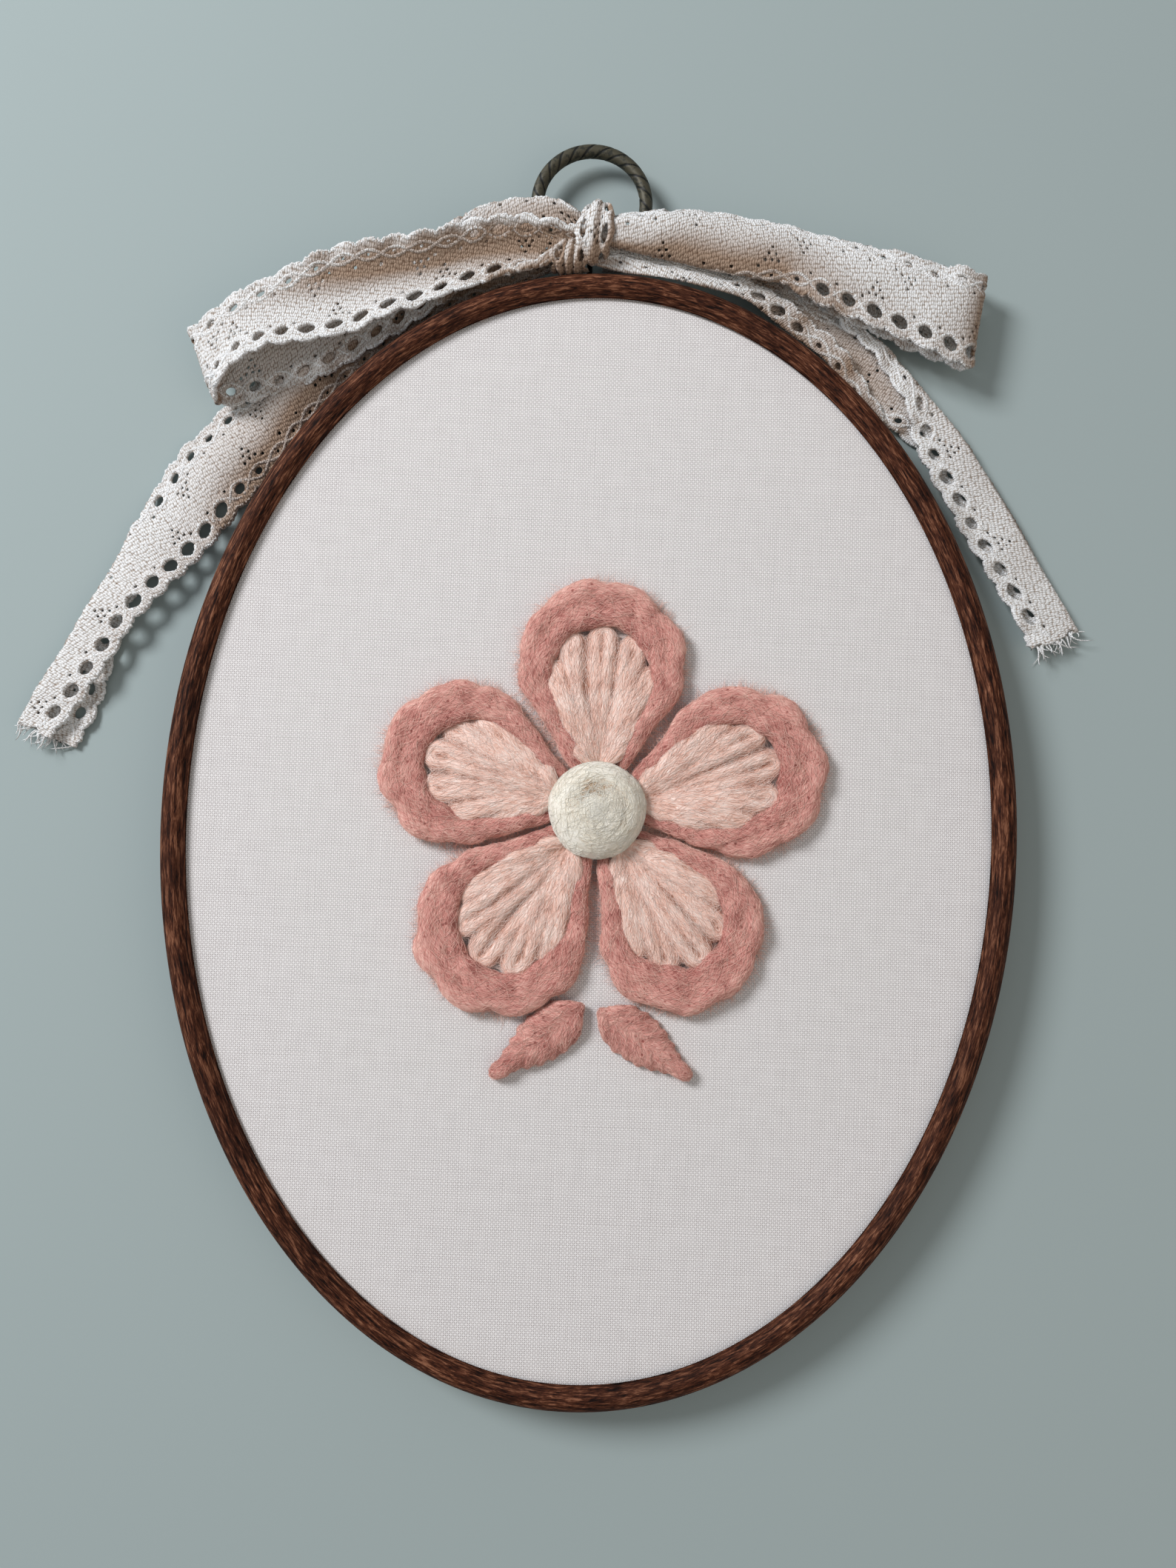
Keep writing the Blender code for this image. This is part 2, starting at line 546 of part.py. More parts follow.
def add_petal_heart(index, material):
    """The fan of looped stitches inside a petal: ridges that meet at its root."""
    columns = 4 * HEART_LOOPS
    root = petal_place(index, PETAL_ROOT + 2.0, 0.0)
    bm = bmesh.new()
    rings = []
    for reach, rise in ((1.0, 0.0), (1.0, 0.45), (0.93, 0.9), (0.62, 1.0), (0.3, 0.85)):
        ring = []
        for c in range(columns + 1):
            share = c / columns
            tip = petal_edge_point(index, share, petal_edge_width(share) + GAP)
            ridge = 0.62 + 0.38 * abs(math.sin(math.pi * HEART_LOOPS * share))
            point = root.lerp(tip, reach)
            ring.append(bm.verts.new((point.x, point.y, WOOL_BASE + HEART_HEIGHT * ridge * rise)))
        rings.append(ring)
    bridge_rings(bm, rings)
    cap_ring(bm, rings[0], (root.x, root.y, WOOL_BASE))
    cap_ring(bm, rings[-1], (root.x, root.y, WOOL_BASE + HEART_HEIGHT * 0.8))
    return add_piece("petal_heart_%d" % (index + 1), bm, material)


LEAF_COLUMNS = ("name", "root_x", "root_y", "tip_x", "tip_y", "half_width")
LEAVES = (
    ("leaf_left", 0.8, -35.5, -18.0, -50.5, 5.6),
    ("leaf_right", 2.6, -36.0, 22.0, -49.5, 5.6),
)
LEAF_HEIGHT = 3.0


def add_leaf(name, root_x, root_y, tip_x, tip_y, half_width, material):
    """A pointed leaf of slanting wool stitches, highest along its vein."""
    root = Vector((root_x, root_y))
    tip = Vector((tip_x, tip_y))
    run = tip - root
    side = Vector((-run.y, run.x)).normalized()
    steps = 12
    bm = bmesh.new()
    rings = []
    for k in range(1, steps):
        share = k / steps
        width = half_width * math.sin(math.pi * share ** 0.8)
        stitch = 0.93 + 0.07 * math.cos(math.pi * k)
        ring = []
        for across, up in ((-1.0, 0.0), (-1.0, 0.3), (-0.6, 0.85), (0.0, 1.0), (0.6, 0.85), (1.0, 0.3), (1.0, 0.0)):
            point = root + run * share + side * (width * across)
            height = LEAF_HEIGHT * up * stitch * min(1.0, 0.45 + 2.2 * min(share, 1 - share))
            ring.append(bm.verts.new((point.x, point.y, WOOL_BASE + height)))
        rings.append(ring)
    bridge_rings(bm, rings)
    bm.faces.new(rings[0])
    bm.faces.new(reversed(rings[-1]))
    return add_piece(name, bm, material)


def add_ball(material):
    """The wound wool button in the middle: a flat-bottomed dome with the lay of its turns."""
    around = 28
    bm = bmesh.new()
    levels = ((0.9, 0.0), (1.0, 0.14), (1.02, 0.34), (0.94, 0.6), (0.76, 0.82), (0.45, 0.96))
    rings = []
    for radius, level in levels:
        ring = []
        for k in range(around):
            angle = 2 * math.pi * k / around
            wound = 1 + 0.03 * math.cos(3 * angle + 5 * level)
            out = BALL_RADIUS * radius * wound
            ring.append(bm.verts.new((FLOWER_X + out * math.cos(angle), FLOWER_Y + out * math.sin(angle),
                                      WOOL_BASE + BALL_HEIGHT * level)))
        rings.append(ring)
    bridge_rings(bm, rings)
    cap_ring(bm, rings[0], (FLOWER_X, FLOWER_Y, WOOL_BASE))
    cap_ring(bm, rings[-1], (FLOWER_X, FLOWER_Y, WOOL_BASE + BALL_HEIGHT))
    return add_piece("centre_ball", bm, material)


def build_part():
    clear_scene()
    wood_look = finish("wood_look_vinyl", (0.085, 0.036, 0.022), 0.5)
    plain_plastic = finish("plain_plastic", (0.10, 0.05, 0.03), 0.5)
    cotton = finish("cotton_cloth", (0.62, 0.58, 0.57), 0.9)
    bronze = finish("aged_bronze", (0.10, 0.085, 0.05), 0.45, 0.9)
    lace = finish("cotton_lace", (0.58, 0.54, 0.49), 0.9)
    dusty_pink = finish("dusty_pink_wool", (0.46, 0.23, 0.20), 0.95)
    blush = finish("blush_wool", (0.62, 0.40, 0.33), 0.95)
    cream = finish("cream_wool", (0.64, 0.58, 0.49), 0.95)

    hoop = add_outer_hoop(wood_look)
    pieces = [hoop, add_inner_hoop(plain_plastic), add_cloth(cotton), add_hanging_ring(bronze),
              add_ring_eye(bronze, hoop), add_bow(lace), add_ball(cream)]
    for index in range(PETALS):
        pieces.append(add_petal_edge(index, dusty_pink))
        pieces.append(add_petal_heart(index, blush))
    for leaf in LEAVES:
        pieces.append(add_leaf(**dict(zip(LEAF_COLUMNS, leaf)), material=dusty_pink))

    # Everything hangs on one empty that brings the middle of the base to the origin.
    base = bpy.data.objects.new("base", None)
    bpy.context.scene.collection.objects.link(base)
    tools = [thing for thing in bpy.data.objects if thing.type == "MESH" and thing not in pieces]
    for piece in pieces + tools:
        piece.parent = base
    bpy.context.view_layer.update()
    corners = []
    depsgraph = bpy.context.evaluated_depsgraph_get()
    for piece in pieces:
        seen = piece.evaluated_get(depsgraph)
        corners += [seen.matrix_world @ Vector(corner) for corner in seen.bound_box]
    low = Vector([min(corner[axis] for corner in corners) for axis in range(3)])
    high = Vector([max(corner[axis] for corner in corners) for axis in range(3)])
    base.location = (-(low.x + high.x) / 2, -(low.y + high.y) / 2, -low.z)


build_part()
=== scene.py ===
"""The looks of an embroidery hoop art: cotton drawn over an oval wood-look hoop, a flower worked on
it in wool roving, and a bow of cotton lace tied on the bronze ring that it hangs by."""

import math

import bpy
import numpy as np
from mathutils import Matrix, Vector
from mathutils.kdtree import KDTree


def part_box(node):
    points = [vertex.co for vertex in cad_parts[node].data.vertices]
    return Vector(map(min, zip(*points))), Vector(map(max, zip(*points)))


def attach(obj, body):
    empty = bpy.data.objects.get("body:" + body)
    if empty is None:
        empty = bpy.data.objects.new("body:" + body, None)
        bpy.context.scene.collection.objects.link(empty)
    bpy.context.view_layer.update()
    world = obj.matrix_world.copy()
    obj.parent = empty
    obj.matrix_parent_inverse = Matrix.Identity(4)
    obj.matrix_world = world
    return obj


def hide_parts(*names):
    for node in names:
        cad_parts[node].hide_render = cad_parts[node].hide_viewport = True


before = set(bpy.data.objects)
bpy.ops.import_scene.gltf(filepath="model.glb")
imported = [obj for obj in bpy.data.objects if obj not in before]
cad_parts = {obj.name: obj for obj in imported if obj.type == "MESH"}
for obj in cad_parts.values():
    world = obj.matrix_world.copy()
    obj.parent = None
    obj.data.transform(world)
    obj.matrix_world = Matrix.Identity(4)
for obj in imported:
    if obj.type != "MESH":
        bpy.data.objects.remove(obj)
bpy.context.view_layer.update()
bpy.ops.object.select_all(action="DESELECT")


# The studio. A plain pale floor, one large soft light at the upper left with a weak one opposite,
# and a camera held above the hoop, a little low and a little turned, as the photograph was taken.

MM = 0.001
UP = np.array([0.0, 0.0, 1.0])
hoop_low, hoop_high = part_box("outer_hoop")
HOOP_CENTRE = np.array([(hoop_low.x + hoop_high.x) / 2, (hoop_low.y + hoop_high.y) / 2, 0.0])

CAMERA_PLACE = (-0.5, -7.2, 246.0)          # millimetres from the hoop's middle
CAMERA_TILT = 3.74                          # degrees towards the ring
CAMERA_ROLL = 1.92
CAMERA_LENS = 27.04                         # on a 36 mm long side

FLOOR_SIZE = 6.0
FLOOR_COLOUR = "#a0adac"


def on_hoop(points):
    """Points in millimetres from the hoop's middle, turned to metres in the row frame."""
    return np.asarray(points, float) * MM + HOOP_CENTRE


def linear(colour):
    """An sRGB hex colour as the linear colour that a socket takes."""
    parts = [int(colour[k:k + 2], 16) / 255 for k in (1, 3, 5)]
    return (*(c / 12.92 if c <= 0.04045 else ((c + 0.055) / 1.055) ** 2.4 for c in parts), 1.0)


def new_material(name, values):
    """A material, with its shader's own sockets set."""
    material = bpy.data.materials.new(name)
    material.use_nodes = True
    for socket, value in values.items():
        material.node_tree.nodes["Principled BSDF"].inputs[socket].default_value = value
    return material


def add_node(material, kind, inputs=(), output=0, **settings):
    """Adds a node, sets its inputs to values or links them from sockets, and gives one of its outputs."""
    node = material.node_tree.nodes.new("ShaderNode" + kind)
    for name, value in settings.items():
        setattr(node, name, value)
    for socket, value in dict(inputs).items():
        if isinstance(value, bpy.types.NodeSocket):
            material.node_tree.links.new(value, node.inputs[socket])
        else:
            node.inputs[socket].default_value = value
    return node.outputs[output]


def maths(material, operation, *terms):
    """What a maths node gives for terms that are sockets or numbers."""
    return add_node(material, "Math", dict(enumerate(terms)), operation=operation)


def noise(material, place, scale, detail=2.0, roughness=0.5, distortion=0.0, dimensions="3D", output="Fac"):
    """Soft random patches."""
    inputs = {"Vector": place, "Scale": scale, "Detail": detail, "Roughness": roughness,
              "Distortion": distortion}
    return add_node(material, "TexNoise", inputs, output, noise_dimensions=dimensions)


def map_range(material, value, from_min, from_max, to_min, to_max):
    """Carries a value from one range to another, held at its ends."""
    return add_node(material, "MapRange", {"Value": value, "From Min": from_min, "From Max": from_max,
                                           "To Min": to_min, "To Max": to_max})


def ramp(material, share, *stops):
    """The colour that a share from 0 to 1 has between stops."""
    colour = add_node(material, "ValToRGB", {"Fac": share})
    elements = colour.node.color_ramp.elements
    for k, (place, stop) in enumerate(stops):
        element = elements[k] if k < 2 else elements.new(place)
        element.position = place
        element.color = linear(stop)
    return colour


def stain_and_shade(material, colour, stain_and_shade_colour, share):
    """Darkens a colour by multiplying in another, by a share of its strength: wear on the hoop, soiling and
    painted shade on the lace.
    """
    return add_node(material, "MixRGB", {"Color1": colour, "Color2": linear(stain_and_shade_colour), "Fac": share},
                    blend_type="MULTIPLY")


def finish_surface(material, colour, height, strength, depth):
    """Gives a material's shader its colour, and a bump of that depth in metres."""
    bump = add_node(material, "Bump", {"Height": height, "Strength": strength, "Distance": depth})
    shader = material.node_tree.nodes["Principled BSDF"]
    material.node_tree.links.new(colour, shader.inputs["Base Color"])
    material.node_tree.links.new(bump, shader.inputs["Normal"])


bpy.ops.mesh.primitive_plane_add(size=FLOOR_SIZE, location=(0.0, 0.0, -0.0002))
floor = bpy.context.object
floor.name = "studio_floor"
floor.data.materials.append(new_material("studio_paper", {
    "Base Color": linear(FLOOR_COLOUR), "Roughness": 0.9, "Specular IOR Level": 0.2}))

bpy.ops.object.camera_add()
camera = bpy.context.object
camera.data.lens = CAMERA_LENS
camera.data.sensor_width = 36.0
camera.data.clip_start = 0.01
camera.matrix_world = (Matrix.Translation(on_hoop(CAMERA_PLACE))
                       @ Matrix.Rotation(math.radians(CAMERA_TILT), 4, "X")
                       @ Matrix.Rotation(math.radians(CAMERA_ROLL), 4, "Z"))
bpy.context.scene.camera = camera

for name, place, size, power, colour in (
        ("window_light", (-0.64, 0.43, 0.64), 0.36, 9.4, "#fbfbff"),
        ("fill_light", (0.75, -0.45, 0.70), 0.90, 1.8, "#ffe4c8")):
    bpy.ops.object.light_add(type="AREA", location=place)
    light = bpy.context.object
    light.name = name
    light.data.shape = "DISK"
    light.data.size = size
    light.data.energy = power
    light.data.color = linear(colour)[:3]
    light.rotation_euler = Vector(place).to_track_quat("Z", "Y").to_euler()

world = bpy.data.worlds.new("studio_air")
world.use_nodes = True
air = world.node_tree.nodes["Background"].inputs
air["Color"].default_value = linear("#e9edf1")
air["Strength"].default_value = 0.38
bpy.context.scene.world = world
bpy.context.scene.view_settings.view_transform = "Standard"


# The outer hoop. One strip of flexible vinyl moulded to an oval with a round bead on its front,
# faced in a dark walnut look: fine wavy grain pressed in along the hoop and rubbed lighter on top.

OVAL_HALF_WIDTH = 81.0                      # the bead's inner edge
OVAL_HALF_HEIGHT = 109.3
OVAL_STEPS = 60                             # to a quarter
BEAD_WIDTH = 5.3
HOOP_DEPTH = 11.0
BAND_THICKNESS = 2.7
BEAD_LIP = 8.6
BEAD_SIDE_TOP = 7.6
BEAD_CROWN_BASE = 8.0
BEAD_MIDDLE = 7.0                           # the height that the grain goes round
GRAIN_SPACING = 0.35 * MM                   # between the pressed lines of the grain
GRAIN_STRETCH = 11.0                        # how much longer than wide its figure is


def add_oval_band(name, section):
    """A closed band round the oval. Its section is in millimetres out from the oval and up."""
    bpy.ops.curve.primitive_bezier_circle_add(radius=1.0)
    oval = bpy.context.object
    oval.name = name
    oval.scale = (OVAL_HALF_WIDTH * MM, OVAL_HALF_HEIGHT * MM, 1.0)
    oval.location = HOOP_CENTRE
    bpy.ops.object.transform_apply()
    for point in oval.data.splines[0].bezier_points:
        point.radius = 1.0
    bpy.ops.mesh.primitive_circle_add(vertices=len(section))
    profile = bpy.context.object
    for vertex, (out, up) in zip(profile.data.vertices, section):
        vertex.co = (-out * MM, up * MM, 0.0)
    bpy.ops.object.convert(target="CURVE")
    oval.data.resolution_u = OVAL_STEPS
    oval.data.bevel_mode = "OBJECT"
    oval.data.bevel_object = profile
    bpy.ops.object.select_all(action="DESELECT")
    oval.select_set(True)
    bpy.context.view_layer.objects.active = oval
    bpy.ops.object.convert(target="MESH")
    bpy.data.objects.remove(profile)
    bpy.ops.object.mode_set(mode="EDIT")
    bpy.ops.mesh.select_all(action="SELECT")
    bpy.ops.mesh.remove_doubles(threshold=0.00001)
    bpy.ops.mesh.normals_make_consistent(inside=False)
    bpy.ops.object.mode_set(mode="OBJECT")
    bpy.ops.object.shade_smooth_by_angle(angle=math.radians(40))
    return oval


def set_grain(piece):
    """Stores where each point lies: on a circle about as long as the oval, and round the section."""
    place = np.array([vertex.co for vertex in piece.data.vertices]) - HOOP_CENTRE
    a, b = OVAL_HALF_WIDTH * MM, OVAL_HALF_HEIGHT * MM
    x, y = place[:, 0] / a, place[:, 1] / b
    turn, level = np.arctan2(y, x), np.hypot(x, y)
    slope = np.hypot(x / a, y / b) / level
    bead_radius = BEAD_WIDTH / 2 * MM
    out = (level - 1) / slope - bead_radius
    round_section = np.arctan2(out, place[:, 2] - BEAD_MIDDLE * MM) * bead_radius * 1.2
    radius = (a + b) / 2
    grain = np.stack([radius * np.cos(turn), radius * np.sin(turn), round_section], axis=1)
    piece.data.attributes.new("grain", "FLOAT_VECTOR", "POINT").data.foreach_set("vector", grain.ravel())


def dress(piece, material, slot, *nodes):
    """Gives a piece its material and its body, and hides the CAD nodes that it stands for. Its slot is not
    used.
    """
    piece.data.materials.clear()
    piece.data.materials.append(material)
    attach(piece, "root")
    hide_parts(*nodes)


wall = BEAD_WIDTH - BAND_THICKNESS
hoop_section = [(0.0, BEAD_LIP + 0.35), (0.1, BEAD_LIP + 0.1), (0.3, BEAD_LIP), (wall, BEAD_LIP), (wall, 0.0),
                (BEAD_WIDTH - 0.5, 0.0), (BEAD_WIDTH - 0.2, 0.15), (BEAD_WIDTH - 0.05, 0.6),
                (BEAD_WIDTH, BEAD_SIDE_TOP)]
for degrees in range(8, 176, 12):
    across = math.radians(degrees)
    hoop_section.append((BEAD_WIDTH / 2 * (1 + math.cos(across)),
                         BEAD_CROWN_BASE + (HOOP_DEPTH - BEAD_CROWN_BASE) * math.sin(across)))
outer_hoop = add_oval_band("outer_hoop_band", hoop_section)
set_grain(outer_hoop)

# Embossed vinyl film on a rubbery plastic: low gloss, nearly black in the pressed lines, walnut
# brown between them and worn paler on the ridges.
wood_look = new_material("embossed_walnut_vinyl", {"Roughness": 0.68, "Specular IOR Level": 0.12})
grain = add_node(wood_look, "Attribute", output="Vector", attribute_name="grain")
stretched = add_node(wood_look, "Mapping", {
    "Vector": grain, "Scale": (1 / GRAIN_STRETCH, 1 / GRAIN_STRETCH, 1.0)})
lines = noise(wood_look, stretched, 1.0 / GRAIN_SPACING, detail=3.0, roughness=0.75, distortion=0.3)
figure = noise(wood_look, stretched, 0.2 / GRAIN_SPACING, detail=3.0, distortion=0.6)
patches = noise(wood_look, grain, 45.0)
height = maths(wood_look, "MULTIPLY_ADD", figure, 0.12, maths(wood_look, "MULTIPLY", lines, 0.88))
wood_colour = ramp(wood_look, height,
                   (0.38, "#140603"), (0.46, "#3a1c0f"), (0.54, "#55301f"), (0.65, "#8e6047"))
dulled = stain_and_shade(wood_look, wood_colour, "#6b4a3b", map_range(wood_look, patches, 0.45, 0.7, 0.0, 0.6))
finish_surface(wood_look, dulled, height, 0.8, 0.22 * MM)
dress(outer_hoop, wood_look, "hoop_vinyl", "outer_hoop")


# The inner hoop. A plain rigid oval band of brown plastic that the cloth is stretched over. It is
# moulded in one piece and shows only from behind.

GAP = 0.3
CLOTH_ROOM = 1.0                            # the cloth and its air between the two hoops
INNER_HOOP_THICKNESS = 3.0
CLOTH_TOP = BEAD_LIP - GAP

inner_outside = wall - 2 * GAP - CLOTH_ROOM
inner_inside = inner_outside - INNER_HOOP_THICKNESS
inner_top = CLOTH_TOP - CLOTH_ROOM - GAP
inner_section = [(inner_inside, inner_top), (inner_outside - 0.9, inner_top),
                 (inner_outside - 0.3, inner_top - 0.3), (inner_outside, inner_top - 0.9),
                 (inner_outside, 0.4), (inner_outside - 0.4, 0.0),
                 (inner_inside + 0.4, 0.0), (inner_inside, 0.4)]
inner_hoop = add_oval_band("inner_hoop_band", inner_section)

# Moulded ABS with the fine even texture of a spark-eroded tool.
plastic = new_material("moulded_brown_plastic", {"Roughness": 0.48})
place = add_node(plastic, "TexCoord", output="Object")
plastic_colour = ramp(plastic, noise(plastic, place, 60.0, detail=3.0), (0.3, "#4f3526"), (0.7, "#634534"))
finish_surface(plastic, plastic_colour, noise(plastic, place, 3200.0), 0.3, 0.05 * MM)
dress(inner_hoop, plastic, "inner_plastic", "inner_hoop")


# The cloth. An oval of plain-woven cotton, drawn drum-tight over the inner hoop, its cut edge
# turned down between the two hoops.

CLOTH_THICKNESS = 0.5
THREAD_PITCH = 0.42 * MM
cloth_rings = [(2.05, 0.6), (2.05, 3.5), (2.05, 6.7), (1.95, 7.3), (1.6, 7.8), (1.05, 8.02), (0.4, 8.05)]
cloth_rings += [(-step, 8.05) for step in (2, 8, 16, 24, 32, 40, 48, 56, 64, 72, 79)]


def thicken(piece, thickness, **settings):
    """Gives the active sheet its thickness in millimetres, half to each side."""
    layer = piece.modifiers.new("thickness", "SOLIDIFY")
    layer.thickness = thickness * MM
    layer.offset = 0.0
    for name, value in settings.items():
        setattr(layer, name, value)
    bpy.ops.object.modifier_apply(modifier=layer.name)


bpy.ops.mesh.primitive_circle_add(vertices=192, radius=1.0, fill_type="NOTHING")
cloth = bpy.context.object
cloth.name = "stretched_cloth"
bpy.ops.object.mode_set(mode="EDIT")
bpy.ops.mesh.select_all(action="SELECT")
before = (1.0, 1.0, 0.0)
for k, (out, up) in enumerate(cloth_rings):
    ring = ((OVAL_HALF_WIDTH + out) * MM, (OVAL_HALF_HEIGHT + out) * MM, up * MM)
    if k:
        bpy.ops.mesh.extrude_edges_move()
    bpy.ops.transform.resize(value=(ring[0] / before[0], ring[1] / before[1], 1.0),
                             center_override=(0, 0, before[2]))
    bpy.ops.transform.translate(value=(0.0, 0.0, ring[2] - before[2]))
    before = ring
bpy.ops.mesh.merge(type="COLLAPSE")
bpy.ops.mesh.select_all(action="SELECT")
bpy.ops.mesh.normals_make_consistent(inside=False)
bpy.ops.object.mode_set(mode="OBJECT")
cloth.location = HOOP_CENTRE
bpy.ops.object.transform_apply()
thicken(cloth, CLOTH_THICKNESS)
bpy.ops.object.shade_smooth_by_angle(angle=math.radians(50))

# Plain-woven cotton: each crossing of warp and weft is a small bright pillow with a dark pinhole
# at its corners, and a thread here and there is thicker than its neighbours.
cotton = new_material("plain_woven_cotton", {"Roughness": 0.88, "Specular IOR Level": 0.25,
                                             "Sheen Weight": 0.15, "Sheen Roughness": 0.5})
place = add_node(cotton, "TexCoord", output="Object")
over, between = [], []
for axis, slub_scale in (("X", (900.0, 40.0, 1.0)), ("Y", (40.0, 900.0, 1.0))):
    slub = noise(cotton, add_node(cotton, "Mapping", {"Vector": place, "Scale": slub_scale}), 1.0)
    along_axis = add_node(cotton, "SeparateXYZ", {"Vector": place}, axis)
    wander = maths(cotton, "MULTIPLY", slub, 3.0)
    turned = maths(cotton, "MULTIPLY_ADD", along_axis, math.pi / THREAD_PITCH, wander)
    gap = maths(cotton, "COSINE", turned)
    over.append(maths(cotton, "SINE", turned))
    between.append(maths(cotton, "MULTIPLY", gap, gap))
floats = maths(cotton, "MULTIPLY_ADD", maths(cotton, "MULTIPLY", *over), 0.2, 0.72)
weave = maths(cotton, "MULTIPLY_ADD", maths(cotton, "MULTIPLY", *between), -0.6, floats)
uneven = maths(cotton, "MULTIPLY_ADD", noise(cotton, place, 350.0, detail=3.0), 0.12, -0.05)
cotton_colour = ramp(cotton, maths(cotton, "ADD", weave, uneven),
                     (0.05, "#8f8987"), (0.5, "#cfcbc9"), (0.85, "#efedeb"))
finish_surface(cotton, cotton_colour, weave, 0.35, 0.08 * MM)
dress(cloth, cotton, "cotton_cloth", "cloth")


# The hanging ring and its eye. Three strands of wire laid up like a rope and closed to a ring, cast
# in one with an aged bronze finish, and a small screw eye that holds it on the hoop's side.

RING_MIDDLE = (-3.8, 132.0, 4.5)
RING_RADIUS = 11.5
RING_BAR = 1.4
RING_STRANDS = 3
RING_GROOVES = 22
GROOVE_DEPTH = 0.24
EYE_RADIUS = 2.35
EYE_WIRE = 0.6
EYE_DRILL_DEPTH = 1.6


def store(piece, name, values):
    """Keeps a number for each point of a piece, for its material to read."""
    piece.data.attributes.new(name, "FLOAT", "POINT").data.foreach_set("value", values)


bpy.ops.mesh.primitive_torus_add(major_segments=240, minor_segments=36, major_radius=RING_RADIUS,
                                 minor_radius=RING_BAR)
ring = bpy.context.object
ring.name = "twisted_ring"
crests = []
for vertex in ring.data.vertices:
    angle = math.atan2(vertex.co.y, vertex.co.x)
    out, up = math.hypot(vertex.co.x, vertex.co.y) - RING_RADIUS, vertex.co.z
    turn = math.atan2(up, out)
    lay = RING_STRANDS * turn / 2 - RING_GROOVES * angle / 2
    crest = min(1.0, 2.6 * abs(math.sin(lay)) ** 0.7)
    bar = RING_BAR - GROOVE_DEPTH * (1 - crest)
    reach = RING_RADIUS + bar * math.cos(turn)
    vertex.co = on_hoop((RING_MIDDLE[0] + reach * math.cos(angle), RING_MIDDLE[1] + reach * math.sin(angle),
                         RING_MIDDLE[2] + bar * math.sin(turn)))
    crests.append(crest)
store(ring, "crest", crests)
bpy.ops.object.shade_smooth()

hoop_side = OVAL_HALF_HEIGHT * math.cos(math.asin(RING_MIDDLE[0] / OVAL_HALF_WIDTH)) + BEAD_WIDTH
eye_y = RING_MIDDLE[1] - RING_RADIUS - EYE_RADIUS + EYE_WIRE + RING_BAR + GAP + 0.1
bpy.ops.mesh.primitive_torus_add(major_segments=40, minor_segments=14, major_radius=EYE_RADIUS * MM,
                                 minor_radius=EYE_WIRE * MM, rotation=(0.0, math.pi / 2, 0.0),
                                 location=on_hoop((RING_MIDDLE[0], eye_y, RING_MIDDLE[2])))
eye = bpy.context.object
eye.name = "screw_eye"
shank_start = hoop_side - EYE_DRILL_DEPTH + GAP
shank_end = eye_y - EYE_RADIUS + 0.1
shank_middle = on_hoop((RING_MIDDLE[0], (shank_start + shank_end) / 2, RING_MIDDLE[2]))
bpy.ops.mesh.primitive_cylinder_add(vertices=20, radius=EYE_WIRE * MM, depth=(shank_end - shank_start) * MM,
                                    rotation=(math.pi / 2, 0.0, 0.0), location=shank_middle)
eye.select_set(True)
bpy.context.view_layer.objects.active = eye
bpy.ops.object.join()
bpy.ops.object.transform_apply()
bpy.ops.object.shade_smooth_by_angle(angle=math.radians(45))
store(eye, "crest", [0.6] * len(eye.data.vertices))

# Cast zinc with an antique bronze plating: olive black in the grooves, rubbed to a dull brass
# brown on the crests.
bronze = new_material("antique_bronze_plating", {"Metallic": 0.35, "Roughness": 0.55})
crest = add_node(bronze, "Attribute", output="Fac", attribute_name="crest")
tarnish = noise(bronze, add_node(bronze, "TexCoord", output="Object"), 700.0, detail=5.0, roughness=0.65)
wear = maths(bronze, "ADD", crest, maths(bronze, "MULTIPLY_ADD", tarnish, 0.45, -0.22))
bronze_colour = ramp(bronze, wear, (0.5, "#040403"), (0.85, "#20211a"), (0.97, "#2e2e24"), (1.0, "#4a4637"))
finish_surface(bronze, bronze_colour, tarnish, 0.4, 0.06 * MM)
dress(ring, bronze, "aged_bronze", "hanging_ring")
dress(eye, bronze, "aged_bronze", "ring_eye")


# The lace bow. One length of cotton bobbin lace with scalloped corded edges and a row of round
# holes along each, tied in a bow on the ring: two loops, two tails and the knot's wrap. Each run is a
# table of sections between its two outlines, far from the viewer and near.

# A section's two outlines, how far its middle stands up between them, and how much of the lace is
# turned back behind each (over in front of it, where the number is negative), all in millimetres.
RUN_COLUMNS = ("far_x", "far_y", "far_z", "near_x", "near_y", "near_z", "bulge", "far_turn", "near_turn")

